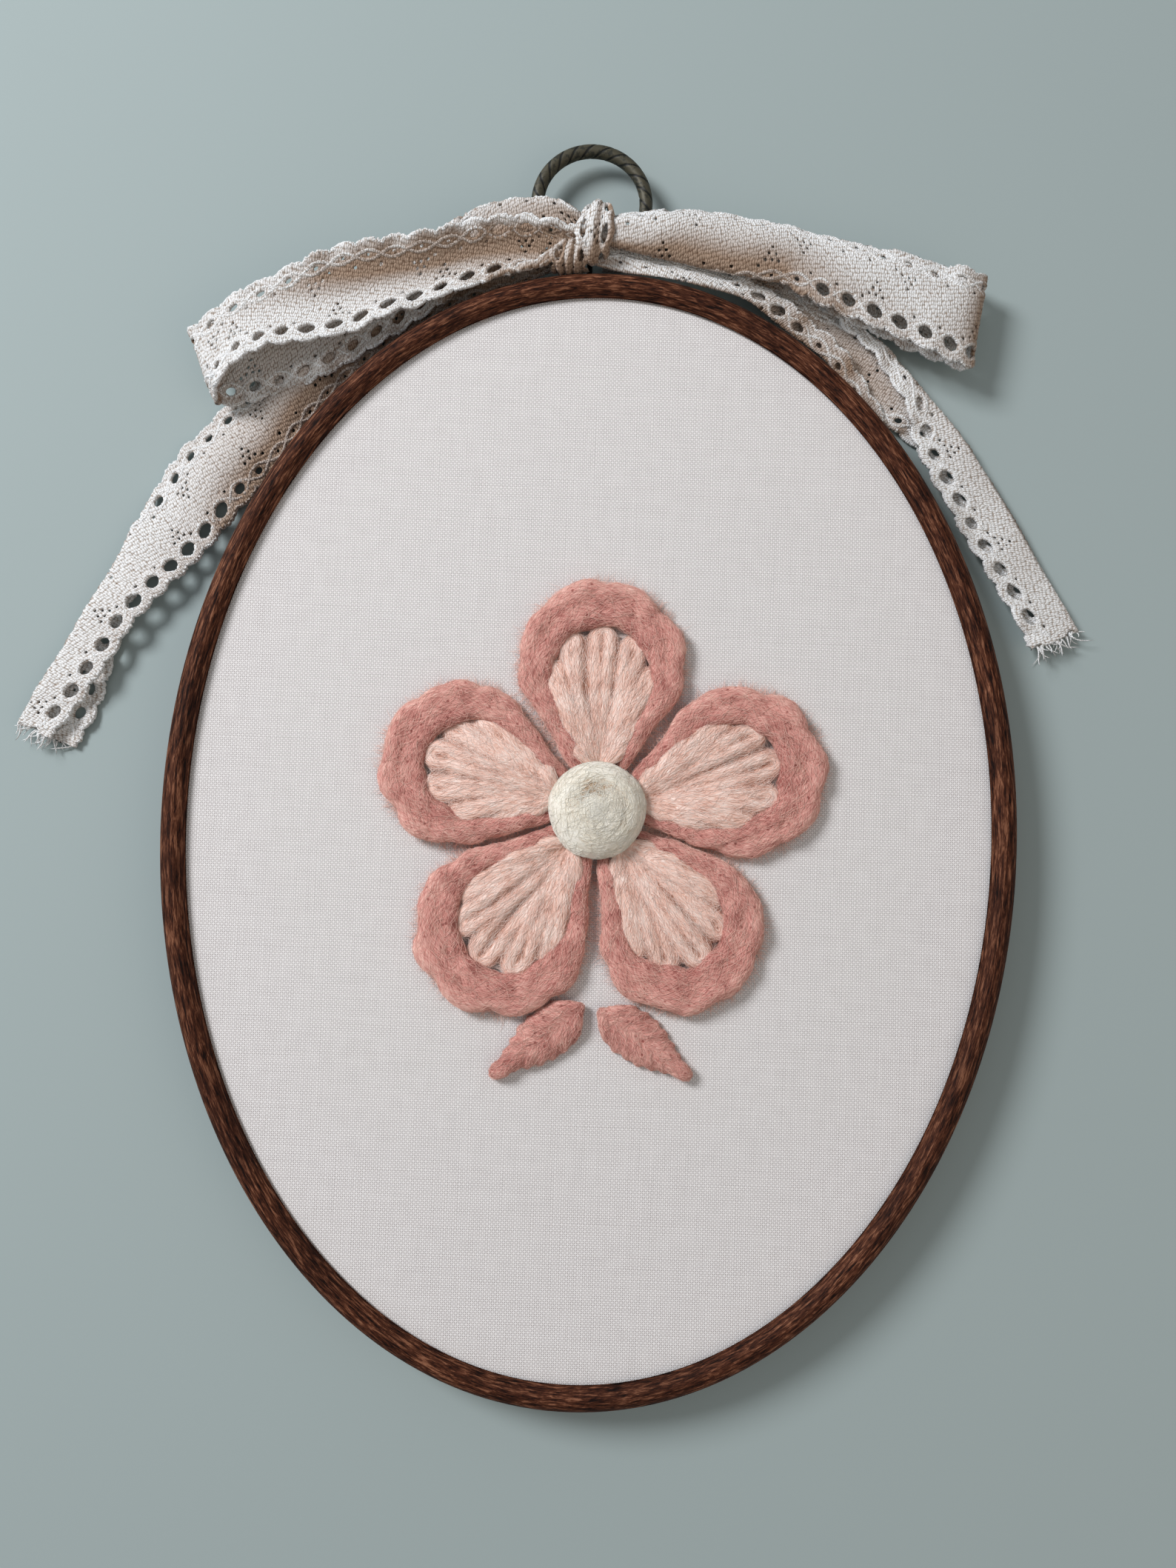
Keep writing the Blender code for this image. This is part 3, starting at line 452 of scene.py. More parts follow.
LEFT_LOOP = (
    (-3.0, 122.6, 12.6, -3.0, 119.0, 10.8, 0.0, 0.0, 1.5),
    (-6.4, 121.8, 13.4, -6.4, 117.0, 10.2, -0.4, 0.0, 3.0),
    (-11.4, 122.8, 13.9, -11.4, 115.6, 10.2, -1.2, 0.0, 2.5),
    (-18.0, 123.4, 14.0, -18.5, 113.2, 10.6, -2.0, 0.0, 1.5),
    (-26.0, 122.6, 13.8, -27.0, 110.4, 11.0, -2.6, 0.0, 0.4),
    (-34.0, 120.6, 13.4, -35.5, 107.0, 11.4, -3.0, 0.0, 0.0),
    (-44.0, 118.6, 13.0, -44.5, 103.2, 11.8, -3.0, 0.0, 0.0),
    (-55.0, 116.6, 12.4, -56.0, 98.0, 12.2, -2.6, 0.0, 0.0),
    (-66.0, 112.2, 11.0, -66.0, 96.0, 13.2, -1.8, 0.0, 0.0),
    (-77.0, 106.4, 9.8, -74.0, 93.2, 12.6, -0.2, 0.0, 0.0),
    (-83.5, 101.6, 9.2, -79.0, 88.2, 10.2, 0.4, 0.0, 0.0),
    (-86.2, 99.6, 7.4, -81.2, 86.2, 6.4, 0.4, 0.0, 0.0),
    (-83.5, 101.8, 5.2, -79.2, 86.2, 3.6, 0.2, 0.0, 0.0),
    (-75.0, 106.6, 5.0, -71.8, 88.0, 3.4, 0.2, 0.0, 0.0),
    (-64.5, 111.0, 5.4, -61.8, 91.8, 3.6, 0.0, 0.0, 0.0),
    (-53.0, 115.0, 6.0, -50.8, 98.4, 4.0, -0.2, 0.0, 0.0),
    (-41.0, 120.4, 7.4, -39.6, 105.4, 5.2, -0.2, 0.4, 0.0),
    (-30.0, 126.2, 9.4, -29.0, 112.6, 6.6, 0.6, 2.6, 0.0),
    (-22.0, 128.5, 10.4, -21.0, 116.0, 7.6, 1.0, 3.4, 0.5),
    (-14.0, 129.1, 10.6, -13.0, 117.6, 8.2, 1.2, 3.2, 0.5),
    (-8.0, 127.9, 10.4, -7.5, 118.4, 8.6, 1.0, 2.4, 0.5),
    (-3.0, 124.2, 9.4, -3.0, 119.4, 9.0, 0.0, 1.0, 0.5),
)

LEFT_TAIL = (
    (-3.4, 120.2, 8.8, -3.4, 117.6, 9.0, 0.6, 0.5, 0.5),
    (-8.5, 119.0, 7.4, -8.5, 116.0, 7.0, 1.2, 2.0, 1.0),
    (-14.0, 120.0, 4.8, -14.0, 115.3, 4.8, 1.2, 2.5, 1.5),
    (-22.0, 121.0, 2.4, -22.0, 112.6, 2.4, 1.4, 2.0, 1.5),
    (-35.0, 120.4, 1.4, -33.6, 107.4, 1.4, 2.0, 0.8, 0.4),
    (-51.3, 111.4, 1.2, -47.2, 98.0, 1.2, 2.4, 0.0, 0.0),
    (-66.8, 98.8, 1.2, -59.0, 85.8, 1.0, 2.4, 0.0, 0.4),
    (-78.8, 87.2, 1.1, -67.4, 74.2, 1.0, 2.2, 0.0, 0.5),
    (-86.9, 78.6, 1.0, -75.4, 65.2, 1.6, 1.6, 0.0, 0.2),
    (-93.2, 70.0, 1.0, -81.6, 56.2, 2.6, 0.8, 0.0, 0.0),
    (-97.4, 61.2, 2.0, -86.2, 50.8, 3.4, 0.4, 3.0, 0.0),
    (-101.0, 52.0, 2.1, -91.0, 45.6, 3.7, 0.4, 6.0, 0.0),
    (-105.4, 42.8, 2.1, -96.8, 38.6, 3.6, 0.4, 7.5, 0.0),
    (-110.6, 31.8, 2.0, -102.8, 28.4, 3.3, 0.3, 10.2, 0.0),
    (-114.6, 23.8, 1.9, -107.6, 21.2, 3.0, 0.3, 11.8, 0.0),
    (-118.0, 16.8, 1.8, -112.4, 14.6, 2.7, 0.2, 11.4, 0.0),
)

RIGHT_LOOP = (
    (-2.5, 124.2, 11.0, -2.5, 119.8, 11.0, 0.8, 1.5, 1.5),
    (1.5, 126.2, 10.8, 1.5, 119.2, 10.8, 2.4, 0.5, 3.6),
    (6.0, 127.2, 10.8, 6.0, 118.6, 10.6, 2.8, 0.3, 4.6),
    (11.5, 127.6, 10.6, 11.2, 117.4, 10.4, 3.0, 1.8, 4.4),
    (18.0, 127.5, 10.2, 18.0, 116.1, 10.4, 2.8, 3.0, 3.6),
    (28.0, 127.1, 9.8, 28.0, 114.5, 10.2, 2.4, 2.6, 2.8),
    (36.0, 125.8, 9.6, 35.6, 112.6, 10.2, 2.0, 2.4, 1.5),
    (44.0, 124.2, 9.6, 43.2, 109.6, 10.2, 1.6, 2.2, 0.2),
    (53.5, 122.4, 9.8, 52.4, 106.2, 9.9, 1.4, 1.4, 0.0),
    (62.5, 120.3, 10.0, 61.5, 102.8, 9.7, 1.2, 0.6, 0.0),
    (70.4, 118.2, 9.8, 69.0, 99.8, 9.6, 1.0, 0.2, 0.0),
    (76.2, 117.4, 9.0, 74.0, 98.2, 8.8, 0.6, 0.0, 0.0),
    (79.4, 117.2, 6.6, 76.6, 98.6, 6.6, 0.2, 0.0, 0.0),
    (76.0, 118.8, 4.6, 73.6, 99.8, 3.8, -0.4, 0.0, 0.0),
    (63.0, 121.0, 4.2, 61.2, 104.4, 3.8, -0.5, 0.0, 0.0),
    (49.0, 123.4, 4.2, 47.6, 110.4, 4.2, -0.6, 0.5, 0.0),
    (34.0, 125.2, 5.0, 34.0, 115.4, 5.2, -0.6, 1.0, 0.5),
    (20.0, 125.6, 6.4, 20.0, 118.6, 6.6, 0.0, 1.0, 1.0),
    (8.0, 124.4, 8.0, 8.0, 120.2, 8.2, 0.0, 1.5, 1.5),
    (-2.5, 123.2, 9.0, -2.5, 120.4, 9.2, 0.0, 1.0, 1.0),
)

RIGHT_TAIL = (
    (-2.5, 120.0, 8.4, -2.5, 116.6, 9.0, -0.4, 0.0, -3.0),
    (3.5, 120.4, 7.4, 3.5, 115.7, 9.0, -0.3, 0.0, -5.2),
    (9.2, 119.4, 7.2, 8.6, 114.8, 9.4, -0.3, 0.0, -5.2),
    (16.0, 118.2, 6.8, 14.6, 114.0, 9.4, -0.3, 0.0, -5.0),
    (25.0, 116.6, 6.0, 22.4, 112.6, 9.0, -0.4, 0.0, -5.0),
    (34.0, 115.2, 4.8, 29.2, 110.8, 8.0, -0.6, -0.5, -4.8),
    (41.5, 113.6, 3.6, 34.6, 108.0, 6.6, -0.9, -0.8, -4.8),
    (48.4, 110.8, 2.8, 40.4, 104.0, 5.4, -1.2, -1.0, -4.6),
    (53.5, 107.9, 3.0, 46.0, 100.4, 4.4, -1.2, -2.4, -4.0),
    (58.6, 104.4, 3.0, 51.0, 95.8, 3.0, -0.8, -3.2, -3.2),
    (63.2, 99.3, 3.0, 56.0, 90.4, 1.8, -0.4, -4.0, -2.2),
    (67.6, 94.2, 3.0, 60.4, 86.4, 1.2, -0.2, -5.2, -1.0),
    (71.8, 89.0, 2.8, 64.0, 85.2, 0.9, -0.1, -7.6, 0.0),
    (76.2, 82.8, 2.4, 68.8, 80.4, 0.9, 0.0, -9.8, 0.0),
    (82.6, 73.0, 2.2, 75.4, 70.8, 0.9, 0.0, -10.8, 0.0),
    (89.2, 61.8, 2.1, 81.8, 59.8, 0.9, 0.0, -10.8, 0.0),
    (95.4, 51.8, 2.0, 87.8, 49.8, 0.8, 0.0, -10.6, 0.0),
    (100.2, 43.8, 1.8, 93.0, 40.4, 0.8, 0.0, -10.4, 0.0),
)

# Along each run, at shares of its length: its painted warm shade at four places across (SHADE_ACROSS),
# and how far the round holes by its far and its near edge stand open.
SHADE_ACROSS = (0.0, 0.25, 0.6, 1.0)
LEFT_LOOP_LOOK = (
    (0.0, 0.2, 0.6, 0.9, 0.7, 0.3, 0.2),
    (0.04, -0.7, 0.6, 0.9, 0.7, 0.9, 0.3),
    (0.12, -0.7, 0.75, 0.75, 0.45, 0.9, 1.0),
    (0.17, -0.4, 0.85, 0.45, 0.1, 0.25, 1.0),
    (0.3, 0.0, 0.8, 0.1, 0.0, 0.25, 1.0),
    (0.38, 0.1, 0.35, 0.0, 0.0, 0.5, 0.9),
    (0.46, 0.1, 0.1, 0.0, 0.0, 0.6, 0.4),
    (0.54, 0.3, 0.3, 0.25, 0.2, 0.6, 0.7),
    (0.8, 0.5, 0.4, 0.35, 0.4, 0.5, 1.0),
    (0.88, 0.1, 0.3, 1.0, 0.8, 0.3, 0.6),
    (0.96, 0.1, 0.3, 1.0, 0.8, 0.3, 0.6),
    (1.0, 0.4, 0.4, 0.8, 0.8, 0.2, 0.3),
)
RIGHT_LOOP_LOOK = (
    (0.0, 0.2, 0.2, 0.5, 0.9, 0.3, 0.0),
    (0.05, 0.0, 0.0, 0.4, 1.0, 0.6, 0.0),
    (0.1, 0.0, 0.0, 0.55, 1.0, 0.6, 0.0),
    (0.14, 0.0, 0.0, 0.6, 1.0, 0.1, 0.0),
    (0.24, 0.0, 0.0, 0.65, 0.9, 0.1, 0.1),
    (0.28, 0.0, 0.0, 0.5, 0.7, 0.1, 0.9),
    (0.34, 0.0, 0.0, 0.1, 0.35, 0.4, 1.0),
    (0.48, 0.0, 0.0, 0.0, 0.0, 0.6, 1.0),
    (0.6, 0.5, 0.5, 0.5, 0.5, 0.6, 0.8),
    (1.0, 0.6, 0.6, 0.6, 0.6, 0.2, 0.2),
)
LEFT_TAIL_LOOK = (
    (0.0, 0.8, 0.8, 0.8, 0.8, 0.2, 0.2),
    (0.45, 0.7, 0.6, 0.7, 0.9, 0.5, 0.2),
    (0.53, 0.4, 0.35, 0.5, 0.9, 0.6, 0.3),
    (0.62, 0.2, 0.1, 0.3, 0.7, 0.6, 1.0),
    (0.7, 0.1, 0.0, 0.1, 0.35, 0.7, 1.0),
    (1.0, 0.1, 0.05, 0.05, 0.1, 0.9, 1.0),
)
RIGHT_TAIL_LOOK = (
    (0.0, 0.4, 0.3, 0.1, 0.0, 0.0, 0.0),
    (0.21, 0.4, 0.3, 0.0, -0.2, 0.0, 0.1),
    (0.25, 0.3, 0.4, 0.2, 0.0, 0.0, 1.0),
    (0.32, 0.1, 0.5, 0.5, 0.3, 0.0, 0.9),
    (0.4, -0.2, 0.6, 0.7, 0.5, 0.0, 0.4),
    (0.52, -0.2, 0.4, 0.7, 0.5, 0.3, 0.4),
    (0.6, -0.2, 0.0, 0.2, 0.2, 1.0, 0.5),
    (1.0, 0.0, 0.0, 0.0, 0.0, 1.0, 0.6),
)

PLEATS = 3                                  # gathers across the lace where it enters the knot
PLEAT_DEPTH = 0.35
PLEATED_BETWEEN = 9.0                       # how far from the knot they run out
KNOT_MIDDLE = (-2.8, 122.3, 10.6)
TURN_RISE = 0.25                            # how much a turned part stands off, a share of its width
SECTION_STEP = 0.9                          # between the sections of a run's surface
FACETS_ACROSS = 36                          # in each section
RIPPLE = 0.32                               # how far the edges of a run wander out of its surface
LACE_LOWEST = 0.62                          # the middle of lace that lies on the surface
LACE_MESH = 0.43                            # millimetres between the points of the lace
LACE_POINTS_ACROSS = 38
LACE_THICKNESS = 1.0                        # at its thickest
SCALLOP = 5.7                               # length of a scallop, and between two round holes
HOLE_IN = 2.6                               # from the lace's edge to the middle of a round hole
HOLE_HALF = (1.75, 1.3)                     # half of a round hole, along and across
PINHOLES = ((0.0, 2.9), (-1.45, 2.8), (1.45, 2.8), (0.75, 4.1), (-0.75, 4.1), (0.0, 5.4))  # from a round hole
PINHOLE_HALF = 0.36
LONE_PINHOLE = (SCALLOP / 2, 1.9, 0.4, 0.36)  # where no group is: its place and its half sizes
# Lace that faces away from this way gets painted warm shade.
WINDOW_WAY = np.array([-0.55, 0.42, 0.72])  # about towards the window; lace that faces away is warmer
CORD_RADIUS = 0.47                          # of the plait that edges the lace and rounds its holes
FULL_WIDTH = 14.0                           # narrower than this the lace is gathered, holes and all
NUB_SPACING = (1.3, 1.5)                    # of the lace's nubs of thread, along and across
PICOT = 0.22                                # the small loops on a scallop: how far they stand out
PICOT_SPACING = 1.43
PLAIT_STEP = 0.5                            # between the points of a plait
PLAIT_BEAD = 1.1                            # length of one crossing of its threads
PLAIT_SWING = 1.85                          # of the two that cross, from the middle of the row of holes
# Painted shade grows by AWAY_SHADE as the lace faces the window less than AWAY_LEVEL.
AWAY_LEVEL = 0.71                           # lace that faces the window less than this is shaded
AWAY_SHADE = 1.7
FRAYED_THREADS = 34                         # at a cut end
FRAY_LOWEST = 0.2
TORN_LENGTH = 4.0                           # over which a cut end is drawn out unevenly


def walked(points):
    """How far along a line each of its points lies."""
    return np.concatenate([[0], np.cumsum(np.linalg.norm(np.diff(points, axis=0), axis=1))])


def even_steps(rows, length, count):
    """Reads rows that lie at those lengths anew, at even steps."""
    places = np.linspace(0, length[-1], count + 1)
    return np.stack([np.interp(places, length, column) for column in rows.T], axis=1)


def unit(vectors):
    """Vectors of the same ways and a length of one."""
    return vectors / np.maximum(np.linalg.norm(vectors, axis=-1, keepdims=True), 1e-9)


def waves(place, spacing, phase=0.0):
    """Waves from -1 to 1 along a place, with that spacing between their crests."""
    return np.sin(2 * math.pi * place / spacing + phase)


def smooth_table(rows):
    """Reads a table of sections at even steps along a smooth curve through its rows."""
    keys = np.array(rows)
    fine = []
    for k in range(len(keys) - 1):
        start_slope = (keys[k + 1] - keys[max(k - 1, 0)]) / 2
        end_slope = (keys[min(k + 2, len(keys) - 1)] - keys[k]) / 2
        for t in np.linspace(0, 1, 13)[:-1]:
            fine.append((2 * t ** 3 - 3 * t ** 2 + 1) * keys[k] + (t ** 3 - 2 * t ** 2 + t) * start_slope
                        + (3 * t ** 2 - 2 * t ** 3) * keys[k + 1] + (t ** 3 - t ** 2) * end_slope)
    fine = np.array(fine + [keys[-1]])
    length = walked((fine[:, 0:3] + fine[:, 3:6]) / 2)
    return even_steps(fine, length, max(2, round(length[-1] / SECTION_STEP)))


def section_points(row):
    """Points at even steps across one section: its far turn, the face between the outlines, its near turn."""
    row = dict(zip(RUN_COLUMNS, row))
    far, near = (np.array([row[edge + "_" + axis] for axis in "xyz"]) for edge in ("far", "near"))
    across = (near - far) / np.linalg.norm(near - far)
    middle = (far + near) / 2 + row["bulge"] * 4 / 3 * UP
    edges, folds = [], []
    for fold, turn, way in ((far, row["far_turn"], 0.93 * across), (near, row["near_turn"], -0.93 * across)):
        edges.append(fold + abs(turn) * way - TURN_RISE * turn * UP)
        folds.append(fold + min(1.0, abs(turn) / 3) * (0.6 * fold - 0.4 * edges[-1] - 0.2 * middle))
    joints = (edges[0], (folds[0] + middle) / 2, (middle + folds[1]) / 2, edges[1])
    t = np.linspace(0, 1, 17)[:, None]
    curve = np.concatenate([(1 - t) ** 2 * joints[k] + 2 * t * (1 - t) * handle + t ** 2 * joints[k + 1]
                            for k, handle in enumerate((folds[0], middle, folds[1]))])
    return even_steps(curve, walked(curve), FACETS_ACROSS)


def run_surface(rows, random):
    """The middle surface of a run as a grid of points, with its gathers and the ripple of its edges."""
    table = smooth_table(rows)
    grid = np.array([section_points(row) for row in table])
    normal = unit(np.cross(np.gradient(grid, axis=0), np.gradient(grid, axis=1)))
    across = np.linspace(-1, 1, FACETS_ACROSS + 1)[None, :]
    along = np.linspace(0, len(grid) * SECTION_STEP, len(grid))[:, None]
    gathered = np.exp(-((table[:, 0, None] - KNOT_MIDDLE[0]) / PLEATED_BETWEEN) ** 2)
    phase = random.uniform(0, 2 * math.pi, 4)
    edge_ripple = RIPPLE * np.abs(across) ** 3 * (waves(along, 13.0, phase[0] + 1.3 * np.sign(across))
                                                  + 0.6 * waves(along, 7.1, phase[1] - 0.9 * np.sign(across)))
    height = (PLEAT_DEPTH * gathered * waves(across + 1, 2 / PLEATS) + edge_ripple
              + 0.35 * RIPPLE * waves(along, 21.0, 2.4 * across + phase[2]))
    return grid + normal * height[:, :, None]


def read_surface(grid, along, across):
    """Points of a surface at shares along and across it."""
    rows, columns = grid.shape[0] - 1, grid.shape[1] - 1
    u, v = np.clip(along, 0, 1) * rows, np.clip(across, 0, 1) * columns
    i, j = np.minimum(u.astype(int), rows - 1), np.minimum(v.astype(int), columns - 1)
    du, dv = (u - i)[..., None], (v - j)[..., None]
    return ((1 - du) * ((1 - dv) * grid[i, j] + dv * grid[i, j + 1])
            + du * ((1 - dv) * grid[i + 1, j] + dv * grid[i + 1, j + 1]))


def lace_places(surface, along, across, beyond):
    """Points of a lace strip: at shares along it and across it (-1 to 1), and millimetres past its edge."""
    middle, aside = (across + 1) / 2, 0.02 * np.sign(across)
    outwards = unit(read_surface(surface, along, np.clip(middle + aside, 0, 1))
                    - read_surface(surface, along, np.clip(middle - aside, 0, 1)))
    points = read_surface(surface, along, middle) + outwards * beyond[..., None]
    points[..., 2] = np.maximum(points[..., 2], LACE_LOWEST)
    return points


def scallop_edge(place, side, phase):
    """How far the lace's edge stands out past its straight line, in scallops with small picots."""
    bulge = np.abs(np.sin(np.pi * (place - phase) / SCALLOP)) ** 0.8
    picots = PICOT * waves(place, PICOT_SPACING, 2 * side)
    return 0.95 * bulge - 0.5 + picots * (0.6 + 0.5 * np.sin(place / 2.3))


def lace_holes(length, half_width, phases, opening, random):
    """A run's holes: their middles in millimetres along and shares across, and their half sizes."""
    holes = []
    for side in (-1, 1):
        cluster = random.integers(0, 4)
        for number, place in enumerate(np.arange(SCALLOP / 2 + phases[side], length - 1.6, SCALLOP)):
            along, inwards, grow = random.uniform(-0.14, 0.14, 3)
            size = (1 + grow) * max(opening(place, side), 0.25)
            group = [(along, inwards, HOLE_HALF[0] * size, HOLE_HALF[1] * size)]
            if number % 4 == cluster:
                group += [(*pinhole, PINHOLE_HALF, PINHOLE_HALF) for pinhole in PINHOLES]
            else:
                group.append(LONE_PINHOLE)
            half = half_width(place)
            drawn_in = min(1.0, 2 * half / FULL_WIDTH) / half
            holes += [(place + along, side * (1 - (HOLE_IN + inwards) * drawn_in), half_s, half_t * drawn_in)
                      for along, inwards, half_s, half_t in group]
    return np.array(holes)


def tubes(paths, radii, facets, flatten, tone, random):
    """Strands along paths, pointed at both ends: points, faces, UV places in metres, and tones."""
    count, stations = paths.shape[:2]
    inner = stations - 2
    radii = np.broadcast_to(radii, (count, stations))[:, 1:-1]
    along = unit(np.gradient(paths, axis=1))[:, 1:-1, None]
    side = unit(np.cross(along, (0.02, 0.01, 1.0)))
    up = np.cross(side, along)
    turn = (-math.pi / 2 + 2 * math.pi * np.arange(facets) / facets)[None, None, :, None]
    around = np.cos(turn) * side + flatten * np.sin(turn) * up
    rings = paths[:, 1:-1, None] + radii[:, :, None, None] * around
    points = np.concatenate([rings.reshape(count, -1, 3), paths[:, :1], paths[:, -1:]], axis=1)
    first = (np.arange(count) * points.shape[1])[:, None, None]
    k, f = np.arange(inner - 1)[None, :, None] * facets, np.arange(facets)[None, None, :]
    g = (f + 1) % facets
    quads = np.stack([first + k + f, first + k + facets + f, first + k + facets + g, first + k + g], axis=-1)
    pole, last = first + inner * facets, (inner - 1) * facets
    caps = np.concatenate([np.stack([pole + 0 * f, first + f, first + g], axis=-1),
                           np.stack([pole + 1 + 0 * f, first + last + g, first + last + f], axis=-1)], axis=1)
    run = np.cumsum(np.linalg.norm(np.diff(paths, axis=1, prepend=paths[:, :1]), axis=2), axis=1)
    u = (run[:, 1:-1] + random.uniform(0, 500, (count, 1)))[:, :, None] + 0.0 * f
    step = 2 * math.pi * radii.max() / facets
    v = step * f + 0.0 * u
    quad_u = np.stack([u[:, :-1], u[:, 1:], u[:, 1:], u[:, :-1]], axis=-1)
    quad_v = np.stack([v[:, :-1], v[:, 1:], v[:, 1:] + step, v[:, :-1] + step], axis=-1)
    cap_u = np.stack([u[:, end, :, None] + 0.0 * np.arange(3) for end in (0, -1)], axis=1)
    cap_v = v[:, :2, :, None] + step * np.array([0.5, 0.0, 1.0])
    uv = np.concatenate([np.stack([quad_u, quad_v], axis=-1).reshape(-1, 2),
                         np.stack([cap_u, cap_v], axis=-1).reshape(-1, 2)]) * MM
    tone = np.broadcast_to(tone if np.ndim(tone) == 2 else np.reshape(tone, (-1, 1)), (count, stations))
    tones = np.concatenate([np.repeat(tone[:, 1:-1], facets, axis=1), tone[:, :1], tone[:, -1:]], axis=1)
    return points.reshape(-1, 3), quads.reshape(-1, 4), caps.reshape(-1, 3), uv, tones.ravel()


def add_strands(name, lots):
    """One piece from several lots of strands, with its UV map along them and their tones."""
    points, quads, caps, uv, tones = zip(*lots)
    faces, first = [], 0
    for k, part in enumerate(points):
        faces += (quads[k] + first).tolist() + (caps[k] + first).tolist()
        first += len(part)
    mesh = bpy.data.meshes.new(name)
    mesh.from_pydata(on_hoop(np.concatenate(points)).tolist(), [], faces)
    mesh.uv_layers.new(name="UVMap").data.foreach_set("uv", np.concatenate(uv).ravel())
    piece = bpy.data.objects.new(name, mesh)
    bpy.context.collection.objects.link(piece)
    store(piece, "tone", np.concatenate(tones))
    mesh.shade_smooth()
    return piece


def read_field(items, field, width=1, kind=float):
    """One field of many mesh items, in rows of that width."""
    values = np.zeros(len(items) * width, kind)
    items.foreach_get(field, values)
    return values.reshape(-1, width) if width > 1 else values


def set_plane(mesh, plane):
    """Lays a mesh's UV map out by a place in metres for each point."""
    layer = mesh.uv_layers.active or mesh.uv_layers.new(name="UVMap")
    layer.data.foreach_set("uv", plane[read_field(mesh.loops, "vertex_index", kind=int)].ravel())


def shade_field(surface, look):
    """The painted tan shade over a lace surface: as its look says, and more where it faces away from the
    window.
    """
    facing = unit(np.cross(np.gradient(surface, axis=0), np.gradient(surface, axis=1)))
    facing *= np.sign(facing[:, :, 2:])
    along, across = (np.linspace(0, 1, count) for count in surface.shape[:2])
    shade = [np.interp(across, SHADE_ACROSS, places)
             for places in zip(*(np.interp(along, look[0], column) for column in look[1:5]))]
    return (AWAY_SHADE * np.clip(AWAY_LEVEL - facing @ WINDOW_WAY, 0, 1) + shade)[:, :, None]


def cut_holes(holes, corners, s, t):
    """Which faces lie in a hole, and how near a rim each point is. Points by a rim move on to its outline."""
    gone = np.zeros(len(corners), bool)
    rim = np.full(len(s), 9.0)
    for middle_s, middle_t, half_s, half_t in holes:
        near = np.abs(s - middle_s) < 3.2 * half_s
        apart = np.hypot((s[near] - middle_s) / half_s, (t[near] - middle_t) / half_t)
        rim[near] = np.minimum(rim[near], apart if half_s > 0.6 else apart + 0.9)
        faces = np.flatnonzero(near[corners].all(axis=1))
        centre_s, centre_t = s[corners[faces]].mean(axis=1), t[corners[faces]].mean(axis=1)
        inside = np.hypot((centre_s - middle_s) / half_s, (centre_t - middle_t) / half_t) < 1
        gone[faces[inside]] = True
        edge = np.intersect1d(corners[faces[inside]], corners[faces[~inside]])
        reach = np.maximum(np.hypot((s[edge] - middle_s) / half_s, (t[edge] - middle_t) / half_t), 0.2)
        s[edge] = middle_s + (s[edge] - middle_s) / reach
        t[edge] = middle_t + (t[edge] - middle_t) / reach
    return gone, rim


def frayed_end(surface, random):
    """Loose threads that stick out of a cut end."""
    across = random.uniform(-1, 1, FRAYED_THREADS)
    start = read_surface(surface, np.ones(FRAYED_THREADS), (across + 1) / 2)
    ahead = unit(start - read_surface(surface, np.full(FRAYED_THREADS, 0.97), (across + 1) / 2))
    sideways = np.cross(ahead, UP)
    t = np.linspace(0, 1, 7)[None, :, None]
    reach = random.uniform(1.2, 4.2, (FRAYED_THREADS, 1, 1))
    bend = random.normal(0, 0.5, (FRAYED_THREADS, 1, 1)) * reach * t ** 2
    rise = random.normal(0, 0.25, (FRAYED_THREADS, 1, 1)) * reach * t ** 2
    paths = (start[:, None] + ahead[:, None] * (reach * t - 0.6) + rise * UP
             + sideways[:, None] * (bend + 0.3 * np.sin(5 * t + across[:, None, None] * 9)))
    paths[:, :, 2] = np.maximum(paths[:, :, 2], FRAY_LOWEST)
    return tubes(paths, np.array([[0.2, 0.2, 0.17, 0.15, 0.13, 0.1, 0.05]]), 4, 1.0, 1.0, random)


